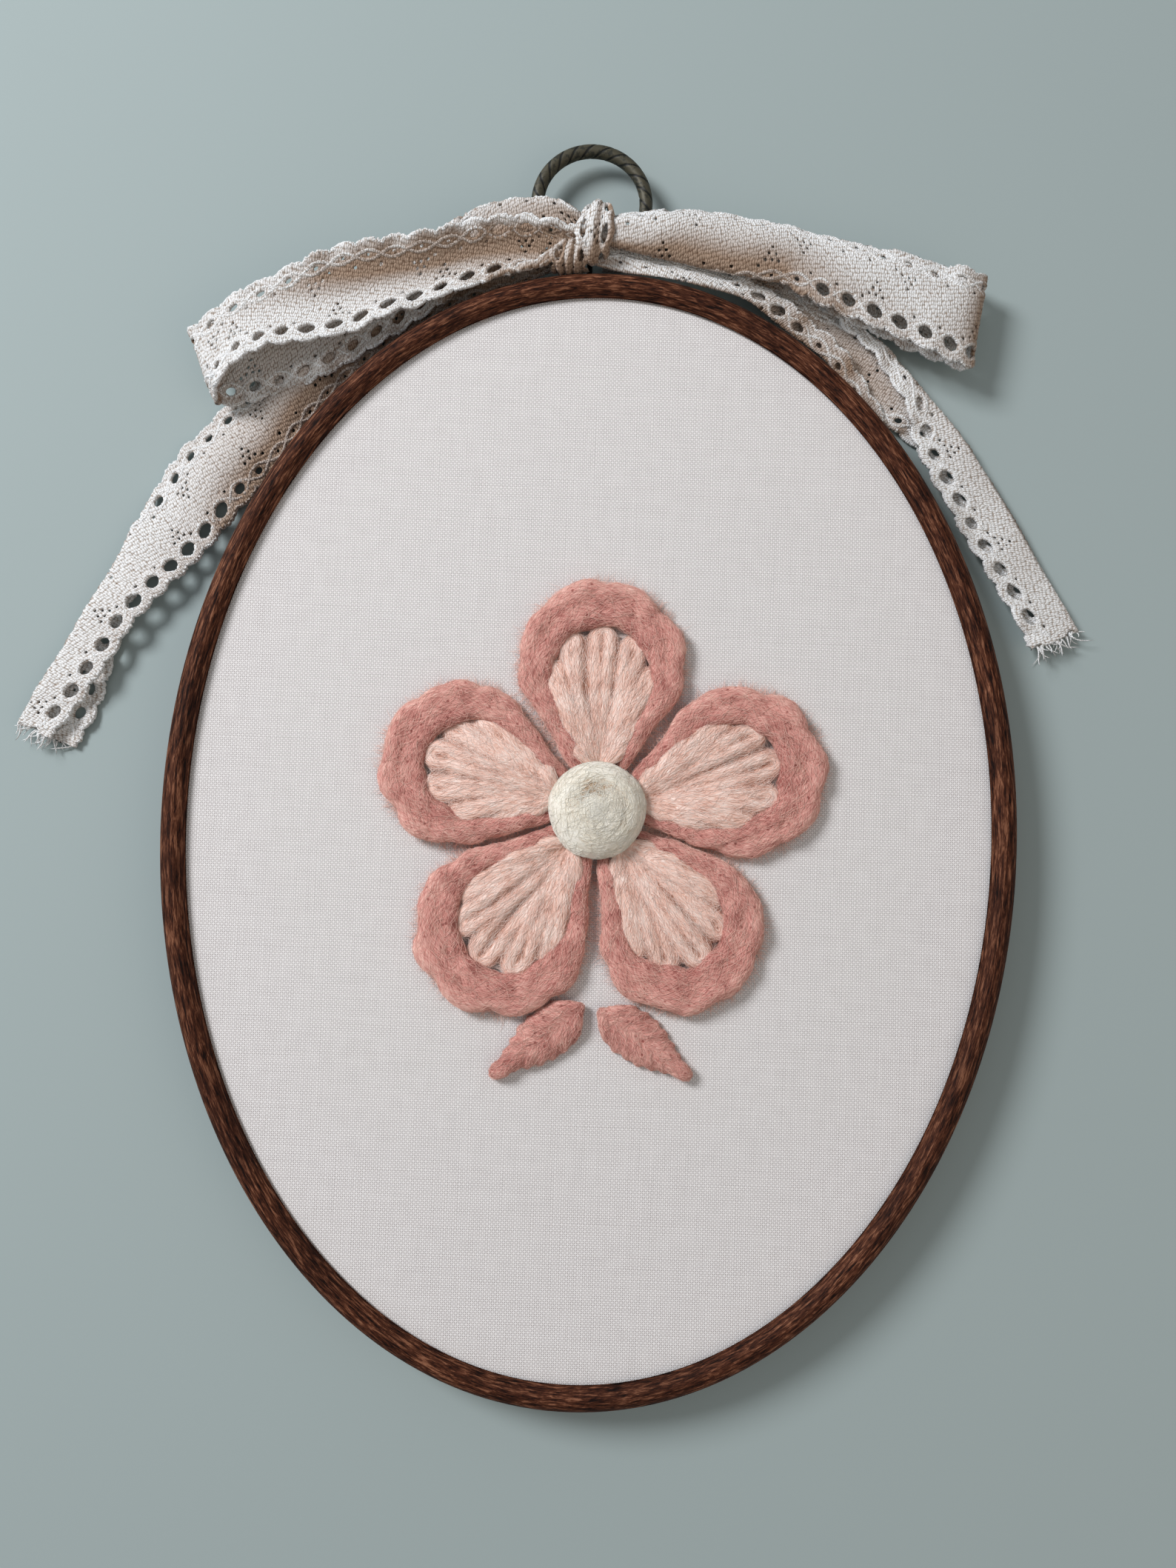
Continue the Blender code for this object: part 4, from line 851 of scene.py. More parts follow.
def add_lace(name, surface, random, look, frayed=False, plaited=True):
    """A run of lace: a fine flat strip with holes cut out and scalloped edges, laid on the surface."""
    spans = np.linalg.norm(np.diff(surface[:, surface.shape[1] // 2], axis=0), axis=1)
    widths = np.linalg.norm(np.diff(surface, axis=1), axis=2).sum(axis=1)
    length = spans.sum()
    phases = {side: random.uniform(-1, 1) for side in (-1, 1)}
    look = np.transpose(look)
    away = shade_field(surface, look)

    def half_width(place):
        return np.interp(place / length, np.linspace(0, 1, len(widths)), widths) / 2

    def opening(place, side):
        return np.interp(place / length, look[0], look[5 if side < 0 else 6])

    bpy.ops.mesh.primitive_grid_add(size=2.0, x_subdivisions=round(length / LACE_MESH),
                                    y_subdivisions=LACE_POINTS_ACROSS)
    strip = bpy.context.object
    strip.name = name
    mesh = strip.data
    flat = read_field(mesh.vertices, "co", 3)
    s, t = (flat[:, 0] + 1) / 2 * length, flat[:, 1].copy()
    holes = lace_holes(length, half_width, phases, opening, random)
    gone, rim = cut_holes(holes, read_field(mesh.polygons, "vertices", 4, int), s, t)
    half = half_width(s)
    beyond = np.abs(t) ** 7 * np.where(t < 0, scallop_edge(s, -1, phases[-1]), scallop_edge(s, 1, phases[1]))
    if frayed:
        torn = 0.7 * np.sin(7.3 * t + phases[1]) + 0.5 * np.sin(17.0 * t)
        s = np.where(s > length - TORN_LENGTH, s + torn * (s - length + TORN_LENGTH) / TORN_LENGTH, s)
    mesh.vertices.foreach_set("co", on_hoop(lace_places(surface, s / length, t, beyond)).ravel())
    # The painted shade goes to the material as a negative tone.
    store(strip, "tone", -np.clip(read_surface(away, s / length, (t + 1) / 2)[:, 0], 0, 1))

    # The lace's own plane is its UV map, in metres, so that its threads keep their size.
    set_plane(mesh, np.stack([s * MM, t * half * MM], axis=1)[:, ::1 if plaited else -1])

    # How thick it is: fuller towards the edges and round the holes, with nubs of thread in between.
    from_edge = (1 - np.abs(t)) * half
    nubs = waves(s + 0.45 * t * half, NUB_SPACING[0]) * waves(t * half, NUB_SPACING[1])
    body = (0.55 + 0.3 * np.exp(-((rim - 1.4) / 0.35) ** 2) + 0.25 * np.clip((1.5 - from_edge) / 0.7, 0, 1)
            + 0.16 * nubs + random.normal(0, 0.06, len(s)))
    group = strip.vertex_groups.new(name="body")
    levels = np.clip(np.round(body * 20) / 20, 0.2, 1.0)
    for level in np.unique(levels):
        group.add(np.flatnonzero(levels == level).tolist(), float(level), "REPLACE")
    bpy.ops.object.mode_set(mode="EDIT")
    bpy.ops.mesh.select_mode(type="FACE")
    bpy.ops.object.mode_set(mode="OBJECT")
    mesh.polygons.foreach_set("select", gone)
    bpy.ops.object.mode_set(mode="EDIT")
    bpy.ops.mesh.delete(type="FACE")
    bpy.ops.object.mode_set(mode="OBJECT")
    thicken(strip, LACE_THICKNESS, use_even_offset=False, vertex_group="body")
    strip.vertex_groups.clear()
    bpy.ops.object.shade_smooth()
    if not plaited:
        return strip, None, length * MM, float(widths.mean()) * MM

    # The plaits: one along each scalloped edge, and two that cross between the round holes.
    place = np.arange(0.2, length - 0.6, PLAIT_STEP)
    half = half_width(place)
    full = np.minimum(1.0, 2 * half / FULL_WIDTH)
    lots = []
    for side in (-1, 1):
        swing = PLAIT_SWING * waves(place - phases[side], 2 * SCALLOP) * (0.35 + 0.65 * opening(place, side))
        lines = [(np.full(len(place), float(side)), scallop_edge(place, side, phases[side]) - 0.15)]
        lines += [(side * (1 - (HOLE_IN + way * swing) * full / half), 0.0 * place) for way in (-1, 1)]
        thick = CORD_RADIUS * (1 + 0.18 * waves(place, PLAIT_BEAD, side)) * (0.6 + 0.4 * full)
        for across, beyond in lines:
            path = lace_places(surface, place / length, across, beyond)
            # Plaits get a tone that is high where they face the window (painted light) and low where turned
            # away (painted shade).
            shaded = np.clip(read_surface(away, place / length, (across + 1) / 2)[:, 0], 0, 1)
            lots.append(tubes(path[None], thick[None], 6, 1.0, 1 - 1.7 * shaded[None], random))
    if frayed:
        lots.append(frayed_end(surface, random))
    return strip, add_strands(name + "_plaits", lots), length * MM, float(widths.mean()) * MM


# Mercerised cotton thread in cloth stitch: small pale nubs where threads pass over, painted brown shade
# in the gaps, and painted warm shade where the lace is turned away from the window, with a little soiling.
lace_cotton = new_material("cotton_bobbin_lace", {
    "Roughness": 0.75, "Specular IOR Level": 0.35, "Sheen Weight": 0.2, "Sheen Roughness": 0.45})
plane = add_node(lace_cotton, "UVMap", uv_map="UVMap")
wander = noise(lace_cotton, plane, 1 / (1.6 * MM), detail=1.0, dimensions="2D", output="Color")
wandered = add_node(lace_cotton, "VectorMath", {0: wander, "Scale": 0.5 * MM}, operation="SCALE")
bent = add_node(lace_cotton, "VectorMath", {0: plane, 1: wandered}, operation="ADD")
skewed = add_node(lace_cotton, "Mapping", {
    "Vector": bent, "Rotation": (0.0, 0.0, 0.2), "Scale": (1.75, 1.0, 1.0)})
nubs = add_node(lace_cotton, "TexVoronoi", {"Vector": skewed, "Scale": 1 / (0.82 * MM), "Randomness": 0.42},
                voronoi_dimensions="2D")
strands = noise(lace_cotton, skewed, 1 / (0.3 * MM), dimensions="2D")
soiling = noise(lace_cotton, plane, 150.0, detail=3.0, dimensions="2D")
rounded = maths(lace_cotton, "MULTIPLY_ADD", nubs, -1.15, 0.92)
threads = maths(lace_cotton, "MULTIPLY_ADD", strands, 0.45, rounded)
tone = add_node(lace_cotton, "Attribute", output="Fac", attribute_name="tone")
# Plaits that face the window are painted lighter: painted light on the cords.
threads_with_painted_light = maths(lace_cotton, "ADD", map_range(lace_cotton, tone, 0.0, 1.0, 0.0, 0.18), threads)
thread_colour = ramp(lace_cotton, threads_with_painted_light,
                     (0.2, "#86705f"), (0.42, "#b0a59a"), (0.62, "#d9d8d4"), (0.85, "#f6f8f8"))
soiled = map_range(lace_cotton, soiling, 0.45, 0.75, 0.0, 0.14)
# Painted warm shade where the lace is turned away, mixed with the real soiling.
painted_shade = map_range(lace_cotton, tone, 0.0, -1.0, 0.0, 0.9)
lace_colour = stain_and_shade(lace_cotton, thread_colour, "#a68466", maths(lace_cotton, "MAXIMUM", soiled, painted_shade))
finish_surface(lace_cotton, lace_colour, threads, 0.8, 0.3 * MM)

for number, (name, rows, look, held) in enumerate((
        ("bow_left_loop", LEFT_LOOP, LEFT_LOOP_LOOK, "folded"),
        ("bow_right_loop", RIGHT_LOOP, RIGHT_LOOP_LOOK, "folded"),
        ("bow_left_tail", LEFT_TAIL, LEFT_TAIL_LOOK, "folded"),
        ("bow_right_tail", RIGHT_TAIL, RIGHT_TAIL_LOOK, "gathered"))):
    random = np.random.default_rng(40 + number)
    run, plaits, run_length, run_width = add_lace(name, run_surface(rows, random), random, look,
                                                  frayed=name.endswith("tail"))
    dress(run, lace_cotton, "cotton_lace", "lace_bow")
    dress(plaits, lace_cotton, "cotton_lace", "lace_bow")


# The knot. The same lace wrapped once round the loops' roots, drawn in to a few hard folds, over
# the bunched lace inside it, with one narrow turn round the ring's bar behind.

KNOT_HALF = (3.3, 6.6, 3.5)
KNOT_LEAN = 0.12
ROOT_MIDDLE = (-7.6, 117.9, 8.9)            # the left tail's root, bunched under the knot
ROOT_HALF = (3.6, 3.7, 3.3)
CORE_HALF = (2.6, 5.6, 2.3)                 # the bunched lace inside the knot
SLING_X = 0.9
SLING_HALF = (2.0, 3.6, 3.5)
SLING_THICKNESS = 0.8


def wrap_surface(middle, half, folds, depth, lean, ends):
    """A wrap of lace as a grid: round its core between two angles, and across its folds."""
    rows = []
    for angle in np.radians(np.linspace(*ends, 60)):
        row = []
        for share in np.linspace(-1, 1, 61):
            girth = (1 - (0.82 * abs(share)) ** 3.2) ** (1 / 2.2)
            fold = depth * math.cos(math.pi * folds * (share + 1) + 1.1 * math.sin(angle + 0.4))
            y = (half[1] + fold - 0.4) * girth * math.cos(angle)
            z = (half[2] + fold) * girth * math.sin(angle)
            pinch = 1 - 0.12 * math.cos(2 * angle) - 0.1 * math.cos(angle)
            row.append((middle[0] + half[0] * 0.95 * share * pinch + lean * y, middle[1] + y, middle[2] + z))
        rows.append(row)
    return np.array(rows)


for number, (name, middle, half, folds, depth, lean, ends, shade, rests_on) in enumerate((
        ("knot_wrap", KNOT_MIDDLE, KNOT_HALF, 2, 0.34, KNOT_LEAN, (-62, 242), 0.1, ["bow_left_loop"]),
        ("tail_root", ROOT_MIDDLE, ROOT_HALF, 4, 0.3, 0.2, (-40, 220), 0.5, ["bow_left_tail"]))):
    random = np.random.default_rng(61 + number)
    # Painted warm shade along each wrap: heavier at its ends and on the tail root under the knot.
    look = [(share, warm, warm, warm, warm, 1.0, 1.0)
            for share, warm in ((0.0, 0.8), (0.3, shade), (0.6, shade), (1.0, 0.9))]
    knot, _, knot_length, knot_width = add_lace(
        name, wrap_surface(middle, half, folds, depth, lean, ends), random, look, plaited=False)
    dress(knot, lace_cotton, "cotton_lace", "lace_bow")

bpy.ops.mesh.primitive_uv_sphere_add(segments=32, ring_count=20, radius=1.0)
core = bpy.context.object
core.name = "knot_core"
for vertex in core.data.vertices:
    x, y, z = vertex.co
    bunch = 1 + 0.08 * math.sin(5 * math.atan2(z, y) + 3 * x)
    x, y, z = np.multiply(CORE_HALF, (x, y, z))
    vertex.co = on_hoop(np.add(KNOT_MIDDLE, (x + KNOT_LEAN * y, y * bunch, z * bunch)))
for corner in core.data.uv_layers.active.data:
    corner.uv *= 20 * MM
bpy.ops.object.shade_smooth()
dress(core, lace_cotton, "cotton_lace", "lace_bow")

bar_y = RING_MIDDLE[1] - math.sqrt(RING_RADIUS ** 2 - (SLING_X - RING_MIDDLE[0]) ** 2)
bpy.ops.mesh.primitive_cylinder_add(vertices=36, radius=1.0, depth=2 * SLING_HALF[0] * MM,
                                    end_fill_type="NOTHING", rotation=(0.0, math.pi / 2, 0.0),
                                    location=on_hoop((SLING_X, bar_y, RING_MIDDLE[2])))
sling = bpy.context.object
sling.name = "ring_sling"
sling.scale = (SLING_HALF[2] * MM, SLING_HALF[1] * MM, 1.0)
bpy.ops.object.transform_apply()
thicken(sling, SLING_THICKNESS)
for corner in sling.data.uv_layers.active.data:
    corner.uv = (corner.uv[0] * 22 * MM, corner.uv[1] * 4 * MM)
bpy.ops.object.shade_smooth_by_angle(angle=math.radians(50))
dress(sling, lace_cotton, "cotton_lace", "lace_bow")


# The flower. Five petals laid in thick wool roving on the cloth: round each a band of plump dusty
# pink stitches in up to three rows, felted together, its fine fibres lying out over the cloth.

FLOWER_MIDDLE = (1.5, 3.0)
WOOL_BASE = CLOTH_TOP
PETALS = 5
PETAL_SHAPES = ((0.0, 1.0), (1.0, 0.97), (-0.8, 1.02), (0.9, 0.98), (-1.1, 1.01))   # lean, share of the reach
PETAL_REACH = 46.0
PETAL_OPENING = 33.5                        # half the angle at its root, in degrees
PETAL_ROOT = 8.6                            # under the rim of the ball
PETAL_EDGE_WIDTH = 8.6
PETAL_EDGE_NARROW = 3.4
PETAL_EDGE_HEIGHT = 3.8
STITCH_LENGTH = 12.0
STITCH_PITCH = 4.6
BAND_SWELLING = 13.0                        # between two swellings of its edge
BAND_FIBRES = 1500                          # that lie on one petal's band
HALO_FIBRES = 2100                          # that stray from it
FIBRE_RADIUS = 0.045
FIBRE_CLEARANCE = 0.03                      # how far the middle of a laid fibre stays off what it lies on


def petal_place(index, out, side):
    """Points given along and across a petal, on the cloth."""
    lean = math.radians(90 + 360 / PETALS * index + PETAL_SHAPES[index][0])
    return np.stack([FLOWER_MIDDLE[0] + out * math.cos(lean) - side * math.sin(lean),
                     FLOWER_MIDDLE[1] + out * math.sin(lean) + side * math.cos(lean)], axis=-1)


def petal_edge(index, share, inset):
    """Points inside a petal's outline, which runs from one root (0) round the end to the other (1)."""
    reach = PETAL_REACH * PETAL_SHAPES[index][1]
    opening = math.radians(PETAL_OPENING)
    radius = reach * math.sin(opening) / (1 + math.sin(opening))
    middle = reach - radius
    bend = radius * (math.pi / 2 + opening)
    walked = np.abs(2 * share - 1) * (middle * math.cos(opening) - PETAL_ROOT + bend)
    turn = np.minimum(walked / radius, math.pi / 2 + opening)
    back = np.maximum(walked - bend, 0.0)
    out = middle + (radius - inset) * np.cos(turn) - back * math.cos(opening)
    side = (radius - inset) * np.sin(turn) - back * math.sin(opening)
    return petal_place(index, out, np.where(share < 0.5, 1, -1) * side)


def petal_edge_width(share):
    """The pink band: one row of stitches by the root, three rows round the end."""
    share = np.clip(share, 0, 1)
    return PETAL_EDGE_NARROW + (PETAL_EDGE_WIDTH - PETAL_EDGE_NARROW) * np.sin(math.pi * share) ** 1.5


def felted_body(name, lots, voxel, melting):
    """One soft mass from several lots of strands, which still show in it as swellings."""
    body = add_strands(name, lots)
    bpy.context.view_layer.objects.active = body
    merged = body.modifiers.new("merged", "REMESH")
    merged.mode = "VOXEL"
    merged.voxel_size = voxel * MM
    bpy.ops.object.modifier_apply(modifier=merged.name)
    soft = body.modifiers.new("soft", "SMOOTH")
    soft.factor = 0.5
    soft.iterations = melting
    bpy.ops.object.modifier_apply(modifier=soft.name)
    body.data.shade_smooth()
    return body


def read_body(body):
    """A body's points, in millimetres from the hoop's middle, and its normals."""
    vertices = body.data.vertices
    return (read_field(vertices, "co", 3) - HOOP_CENTRE) / MM, read_field(vertices, "normal", 3)


def lie_on(points, paths, hairpin=False):
    """Where points lie on their nearest strand: how far along, how far round its side, and its direction."""
    steps = np.diff(paths, axis=1)
    lengths = np.linalg.norm(steps, axis=2)
    starts = np.cumsum(lengths, axis=1) - lengths
    whole = lengths.sum(axis=1)
    nearest, place, aside = np.full(len(points), 1e9), np.zeros(len(points)), np.zeros(len(points))
    along = np.zeros((len(points), 3))
    for strand, station in np.ndindex(lengths.shape):
        step, length = steps[strand, station], lengths[strand, station]
        apart = points - paths[strand, station]
        share = np.clip(apart @ step / length ** 2, 0, 1)
        away = apart - share[:, None] * step
        distance = np.linalg.norm(away, axis=1)
        closer = distance < nearest
        nearest[closer] = distance[closer]
        run = starts[strand, station] + share[closer] * length
        place[closer] = whole[strand] / 2 - np.abs(run - whole[strand] / 2) if hairpin else run + 5.3 * strand
        out = away[closer] @ np.cross(step / length, UP)
        aside[closer] = out + np.sign(out) * np.maximum(-away[closer, 2], 0)
        along[closer] = step / length
    return place, aside, along


def set_lay(body, place, aside, tone):
    """Stores a body's lay as its UV map, in metres, and its tone."""
    set_plane(body.data, np.stack([place, aside], axis=1) * MM)
    store(body, "tone", tone)


def laid_fibres(body, along, allowed, count, lengths, lift, stray, random):
    """Fibres that lie on a body and follow it: each rises a little from it and goes back in."""
    points, normals = read_body(body)
    pick = random.choice(np.flatnonzero(allowed), count)
    normal = normals[pick]
    lay = unit(along[pick] - normal * (along[pick] * normal).sum(axis=1, keepdims=True))
    heading = random.normal(0, stray, count)[:, None]
    direction = np.cos(heading) * lay + np.sin(heading) * np.cross(normal, lay)
    sideways = np.cross(normal, direction)
    t = np.linspace(-1, 1, 5)[None, :, None]
    length = random.uniform(*lengths, count)[:, None, None]
    curl = random.normal(0, 0.17, (count, 1, 1)) * length
    wave = random.normal(0, 0.07, (count, 1, 1)) * length
    start = points[pick][:, None] + random.normal(0, 0.25, (count, 1, 3))
    paths = (start + direction[:, None] * t * length / 2
             + sideways[:, None] * (curl * t ** 2 + wave * np.sin(math.pi * t)))
    tree = KDTree(len(points))
    for number, point in enumerate(points):
        tree.insert(point, number)
    tree.balance()
    nearest = np.array([tree.find(point)[1] for point in paths.reshape(-1, 3)]).reshape(count, 5)
    high = FIBRE_CLEARANCE + random.uniform(0, 1, count)[:, None] ** 2 * lift
    height = high - (high + 0.12) * t[:, :, 0] ** 2
    apart = ((paths - points[nearest]) * normals[nearest]).sum(axis=2)
    paths = paths + normals[nearest] * (height - apart)[:, :, None]
    paths[:, :, 2] = np.maximum(paths[:, :, 2], WOOL_BASE + FIBRE_CLEARANCE)
    return paths


def fibre_tubes(paths, radius, tones, random):
    """Thin tubes along fibres, finest at their tips."""
    swell = np.sin(np.linspace(0.25, 0.85, paths.shape[1]) * math.pi)[None]
    return tubes(paths, radius * swell, 3, 1.0, random.uniform(*tones, len(paths)), random)


def join_fibres(body, lots):
    """Adds lots of fibres to a body as part of its mesh."""
    fibres = add_strands(body.name + "_fibres", lots)
    bpy.ops.object.select_all(action="DESELECT")
    fibres.select_set(True)
    body.select_set(True)
    bpy.context.view_layer.objects.active = body
    bpy.ops.object.join()
    bpy.ops.object.select_all(action="DESELECT")


def new_wool(name, dark, middle, pale, halo, crossing, pitted):
    """Carded wool: matt, streaked with fibres that cross at small angles, soft and bright at its outline."""
    wool = new_material(name, {"Roughness": 0.95, "Specular IOR Level": 0.15, "Sheen Weight": 0.35,
                               "Sheen Roughness": 0.6, "Sheen Tint": linear(halo)})
    lay = add_node(wool, "UVMap", uv_map="UVMap")
    place = add_node(wool, "TexCoord", output="Object")
    total = 0.5
    for turn, length, width, share in (
            (crossing, 3.2, 0.2, 0.75), (-crossing, 2.4, 0.28, 0.75), (0.0, 6.0, 0.15, 0.6)):
        combed = add_node(wool, "Mapping", {"Vector": lay, "Rotation": (0.0, 0.0, turn)})
        drawn = add_node(wool, "Mapping", {
            "Vector": combed, "Scale": (1 / (length * MM), 1 / (width * MM), 1.0)})
        streaks = noise(wool, drawn, 1.0, roughness=0.6, distortion=0.5, dimensions="2D")
        total = maths(wool, "MULTIPLY_ADD", maths(wool, "ADD", streaks, -0.5), share, total)
    # Needle holes: small spots painted darker, painted shade in them, and sunk in the bump.
    if pitted:
        needle_holes = add_node(wool, "TexVoronoi", {"Vector": place, "Scale": 1 / (2.1 * MM)})
        total = maths(wool, "ADD", map_range(wool, needle_holes, 0.04, 0.18, -pitted, 0.0), total)
    tone = add_node(wool, "Attribute", output="Fac", attribute_name="tone")
    blotched = maths(wool, "MULTIPLY_ADD", noise(wool, place, 260.0), 0.6, total)
    toned = maths(wool, "MULTIPLY_ADD", tone, 0.3, blotched)
    wool_colour = ramp(wool, maths(wool, "SUBTRACT", toned, 0.4), (0.15, dark), (0.5, middle), (0.9, pale))
    streaked = map_range(wool, tone, 0.7, 0.9, 0.55, 0.0)
    finish_surface(wool, wool_colour, total, streaked, 0.25 * MM)
    return wool


def band_stitches(index, random):
    """Middles and radii of one petal's pink stitches, in an outer, an inner and a middle row."""
    outline = 2.24 * PETAL_REACH * PETAL_SHAPES[index][1]
    paths, radii = [], []
    t = (1 - np.cos(np.linspace(0, math.pi, 13))) / 2
    for row in (-1, 1, 0):
        for middle in np.arange((4.0, 6.5, 1.5)[row], outline - 1.0, STITCH_PITCH):
            shift, length, swell = random.normal(0, (0.5, 1.2, 0.12))
            share = (middle + shift + (t - 0.5) * (STITCH_LENGTH + length)) / outline
            width = petal_edge_width(share)
            double = np.clip((width - PETAL_EDGE_NARROW) / 3.4, 0, 1)
            if row == 0 and double.max() < 0.85:
                continue
            radius = (1.45 + 0.75 * double) * (1 + swell)
            swelling = np.abs(np.sin(math.pi * share * outline / BAND_SWELLING + index)) ** 0.8
            bumps = 1.5 * double * (0.45 - swelling)
            inset = (width / 2 + row * double * 0.24 * width - (t - 0.5) * random.normal(1.6, 0.8)
                     + (row < 0) * bumps + random.normal(0, 0.2))
            flat = petal_edge(index, np.clip(share, 0.0, 1.0), inset)
            taper = np.sin(math.pi * (0.02 + 0.96 * t)) ** 0.5
            top = PETAL_EDGE_HEIGHT - 0.25 - 0.35 * (1 - double) + random.normal(0, 0.2) - 0.2 * (row == 0)
            height = top - 0.75 * radius - 1.3 * np.abs(2 * t - 1) ** 2.5
            dive = 1.3 * np.clip(1 - np.minimum(share, 1 - share) * outline / 5, 0, 1)
            paths.append(np.column_stack([flat, WOOL_BASE + np.maximum(height - dive, 0.3)]))
            radii.append(radius * taper)
    return np.array(paths), np.array(radii)


def band_core(index):
    """The bed of roving under the stitches, as one flat strand round the petal."""
    share = np.linspace(0.0, 1.0, 60)
    width = petal_edge_width(share)
    flat = petal_edge(index, share, width / 2)
    return np.column_stack([flat, np.full(60, WOOL_BASE + 0.9)])[None], (0.48 * width)[None]


def edge_halo(index, count, random):
    """Fibres that stray from both edges of a petal's band, the outer ones on to the cloth."""
    share = random.uniform(0.02, 0.98, count)
    start = petal_edge(index, share, random.uniform(0.2, 1.6, count))
    outward = petal_edge(index, share, 0.0) - petal_edge(index, share, 1.0)
    run = unit(petal_edge(index, share + 0.004, 0.0) - petal_edge(index, share - 0.004, 0.0))
    swing = random.normal(0, 1.05, count)[:, None]
    direction = unit(outward * np.cos(swing) + run * np.sin(swing))
    sideways = np.column_stack([-direction[:, 1], direction[:, 0]])
    t = np.linspace(0, 1, 4)[None, :, None]
    length = random.uniform(1.1, 3.4, count)[:, None, None]
    curl = random.normal(0, 0.55, (count, 1, 1)) * length
    flat = start[:, None] + direction[:, None] * t * length + sideways[:, None] * curl * t ** 2
    low, high = random.uniform(0.05, 0.5, count)[:, None], random.uniform(0.3, 1.8, count)[:, None]
    height = WOOL_BASE + low + (high - low) * (1 - t[:, :, 0]) ** 1.6
    return np.concatenate([flat, height[:, :, None]], axis=2)


dusty_pink = new_wool("dusty_pink_wool_roving", "#94554e", "#d4958a", "#f3cabb", "#ffd9c6", 0.5, 0.45)
blush = new_wool("blush_wool_roving", "#a87560", "#efc4b2", "#ffeee4", "#fff0e6", 0.16, 0.0)
cream = new_wool("cream_wool_roving", "#b3987c", "#e8e1cf", "#f8f5ea", "#ffffff", 0.3, 0.0)

for index in range(PETALS):
    random = np.random.default_rng(100 + index)
    paths, radii = band_stitches(index, random)
    core_path, core_radii = band_core(index)
    stitches = tubes(paths, 1.04 * radii, 10, 0.75, 0.0, random)
    bed = tubes(core_path, core_radii, 10, 0.4, 0.0, random)
    band = felted_body("petal_band_%d" % (index + 1), [stitches, bed], 0.55, 5)
    points, normals = read_body(band)
    place, aside, along = lie_on(points, core_path)
    raised = points[:, 2] > WOOL_BASE + 0.2
    outer, inner = (np.clip((way * aside - 1.4) / 2.6, 0, 1) * raised for way in (-1, 1))
    # Paler towards the band's outer edge, and darker towards its inner edge: painted shade in the groove by
    # the fan.
    set_lay(band, place, aside, 0.1 + 0.5 * outer - 0.45 * inner)
    fibres = laid_fibres(band, along, normals[:, 2] > -0.2, BAND_FIBRES, (2.0, 6.5), 0.25, 0.6, random)
    fibres = [fibre_tubes(fibres, 0.7 * FIBRE_RADIUS, (0.9, 1.7), random)]
    fibres.append(fibre_tubes(edge_halo(index, HALO_FIBRES, random), 0.65 * FIBRE_RADIUS, (1.6, 2.4), random))
    join_fibres(band, fibres)
    dress(band, dusty_pink, "dusty_pink_wool", "petal_edge_%d" % (index + 1))


# Inside each petal, a fan of long looped stitches in blush roving: nine hairpin loops drawn out
# from the root, each loop's two plump strands lying side by side.

FAN_LOOPS = 9
FAN_HEIGHT = 3.3
FAN_ROOT = 2.6                              # how wide the loops' roots lie
FAN_FIBRES = 1400


def fan_loops(index, random):
    """Middles and radii of one petal's loops, each out and back in one path."""
    share = np.linspace(0.03, 0.97, 400)
    inside = petal_edge(index, share, petal_edge_width(share) - 1.0)
    run = walked(inside)
    centre_line = petal_place(index, PETAL_ROOT, 0.0)
    spacing = run[-1] / FAN_LOOPS / 2
    paths, radii = [], []
    t = np.linspace(0, 1, 15)[:, None]
    for loop in range(FAN_LOOPS):
        shorten = random.uniform(0.0, 1.2)
        swell = random.uniform(0.94, 1.1)
        legs = []
        for leg in (0.27, 0.73):
            place = (2 * loop + 2 * leg) * spacing + random.normal(0, 0.15)
            edge = np.array([np.interp(place, run, inside[:, axis]) for axis in (0, 1)])
            tip_share = np.interp(place, run, share)
            root = petal_place(index, PETAL_ROOT + 0.3, FAN_ROOT * (0.5 - tip_share))
            reach = np.linalg.norm(edge - root)
            tip = edge + (root - edge) * (0.55 * spacing + 0.3 + shorten) / reach
            bow = np.array([-(tip - root)[1], (tip - root)[0]]) * random.normal(0, 0.02)
            legs.append(root + (tip - root) * t + bow * 4 * t * (1 - t))
        turn = np.linspace(0, math.pi, 11)[1:-1, None]
        centre = (legs[0][-1] + legs[1][-1]) / 2
        half_gap = np.linalg.norm(legs[0][-1] - centre)
        outward = (centre - centre_line) / np.linalg.norm(centre - centre_line) * half_gap * 1.2
        bend = centre + (legs[0][-1] - centre) * np.cos(turn) + outward * np.sin(turn)
        flat = np.concatenate([legs[0], bend, legs[1][::-1]])
        away = np.linalg.norm(flat - centre_line, axis=1)
        out_share = away / away.max()
        radius = np.clip(0.53 * spacing * swell * (0.18 + 0.95 * out_share), 0.55, 1.75)
        radius[13:26] *= np.interp(np.arange(13), (0, 3, 9, 12), (1.0, 0.86, 0.86, 1.0))
        crown = 0.62 + 0.38 * np.sin(math.pi * np.clip(out_share, 0, 1) ** 1.2)
        height = FAN_HEIGHT * crown - 0.8 * radius + random.normal(0, 0.2)
        paths.append(np.column_stack([flat, WOOL_BASE + np.maximum(height, 0.35)]))
        radii.append(radius)
    return np.array(paths), np.array(radii)


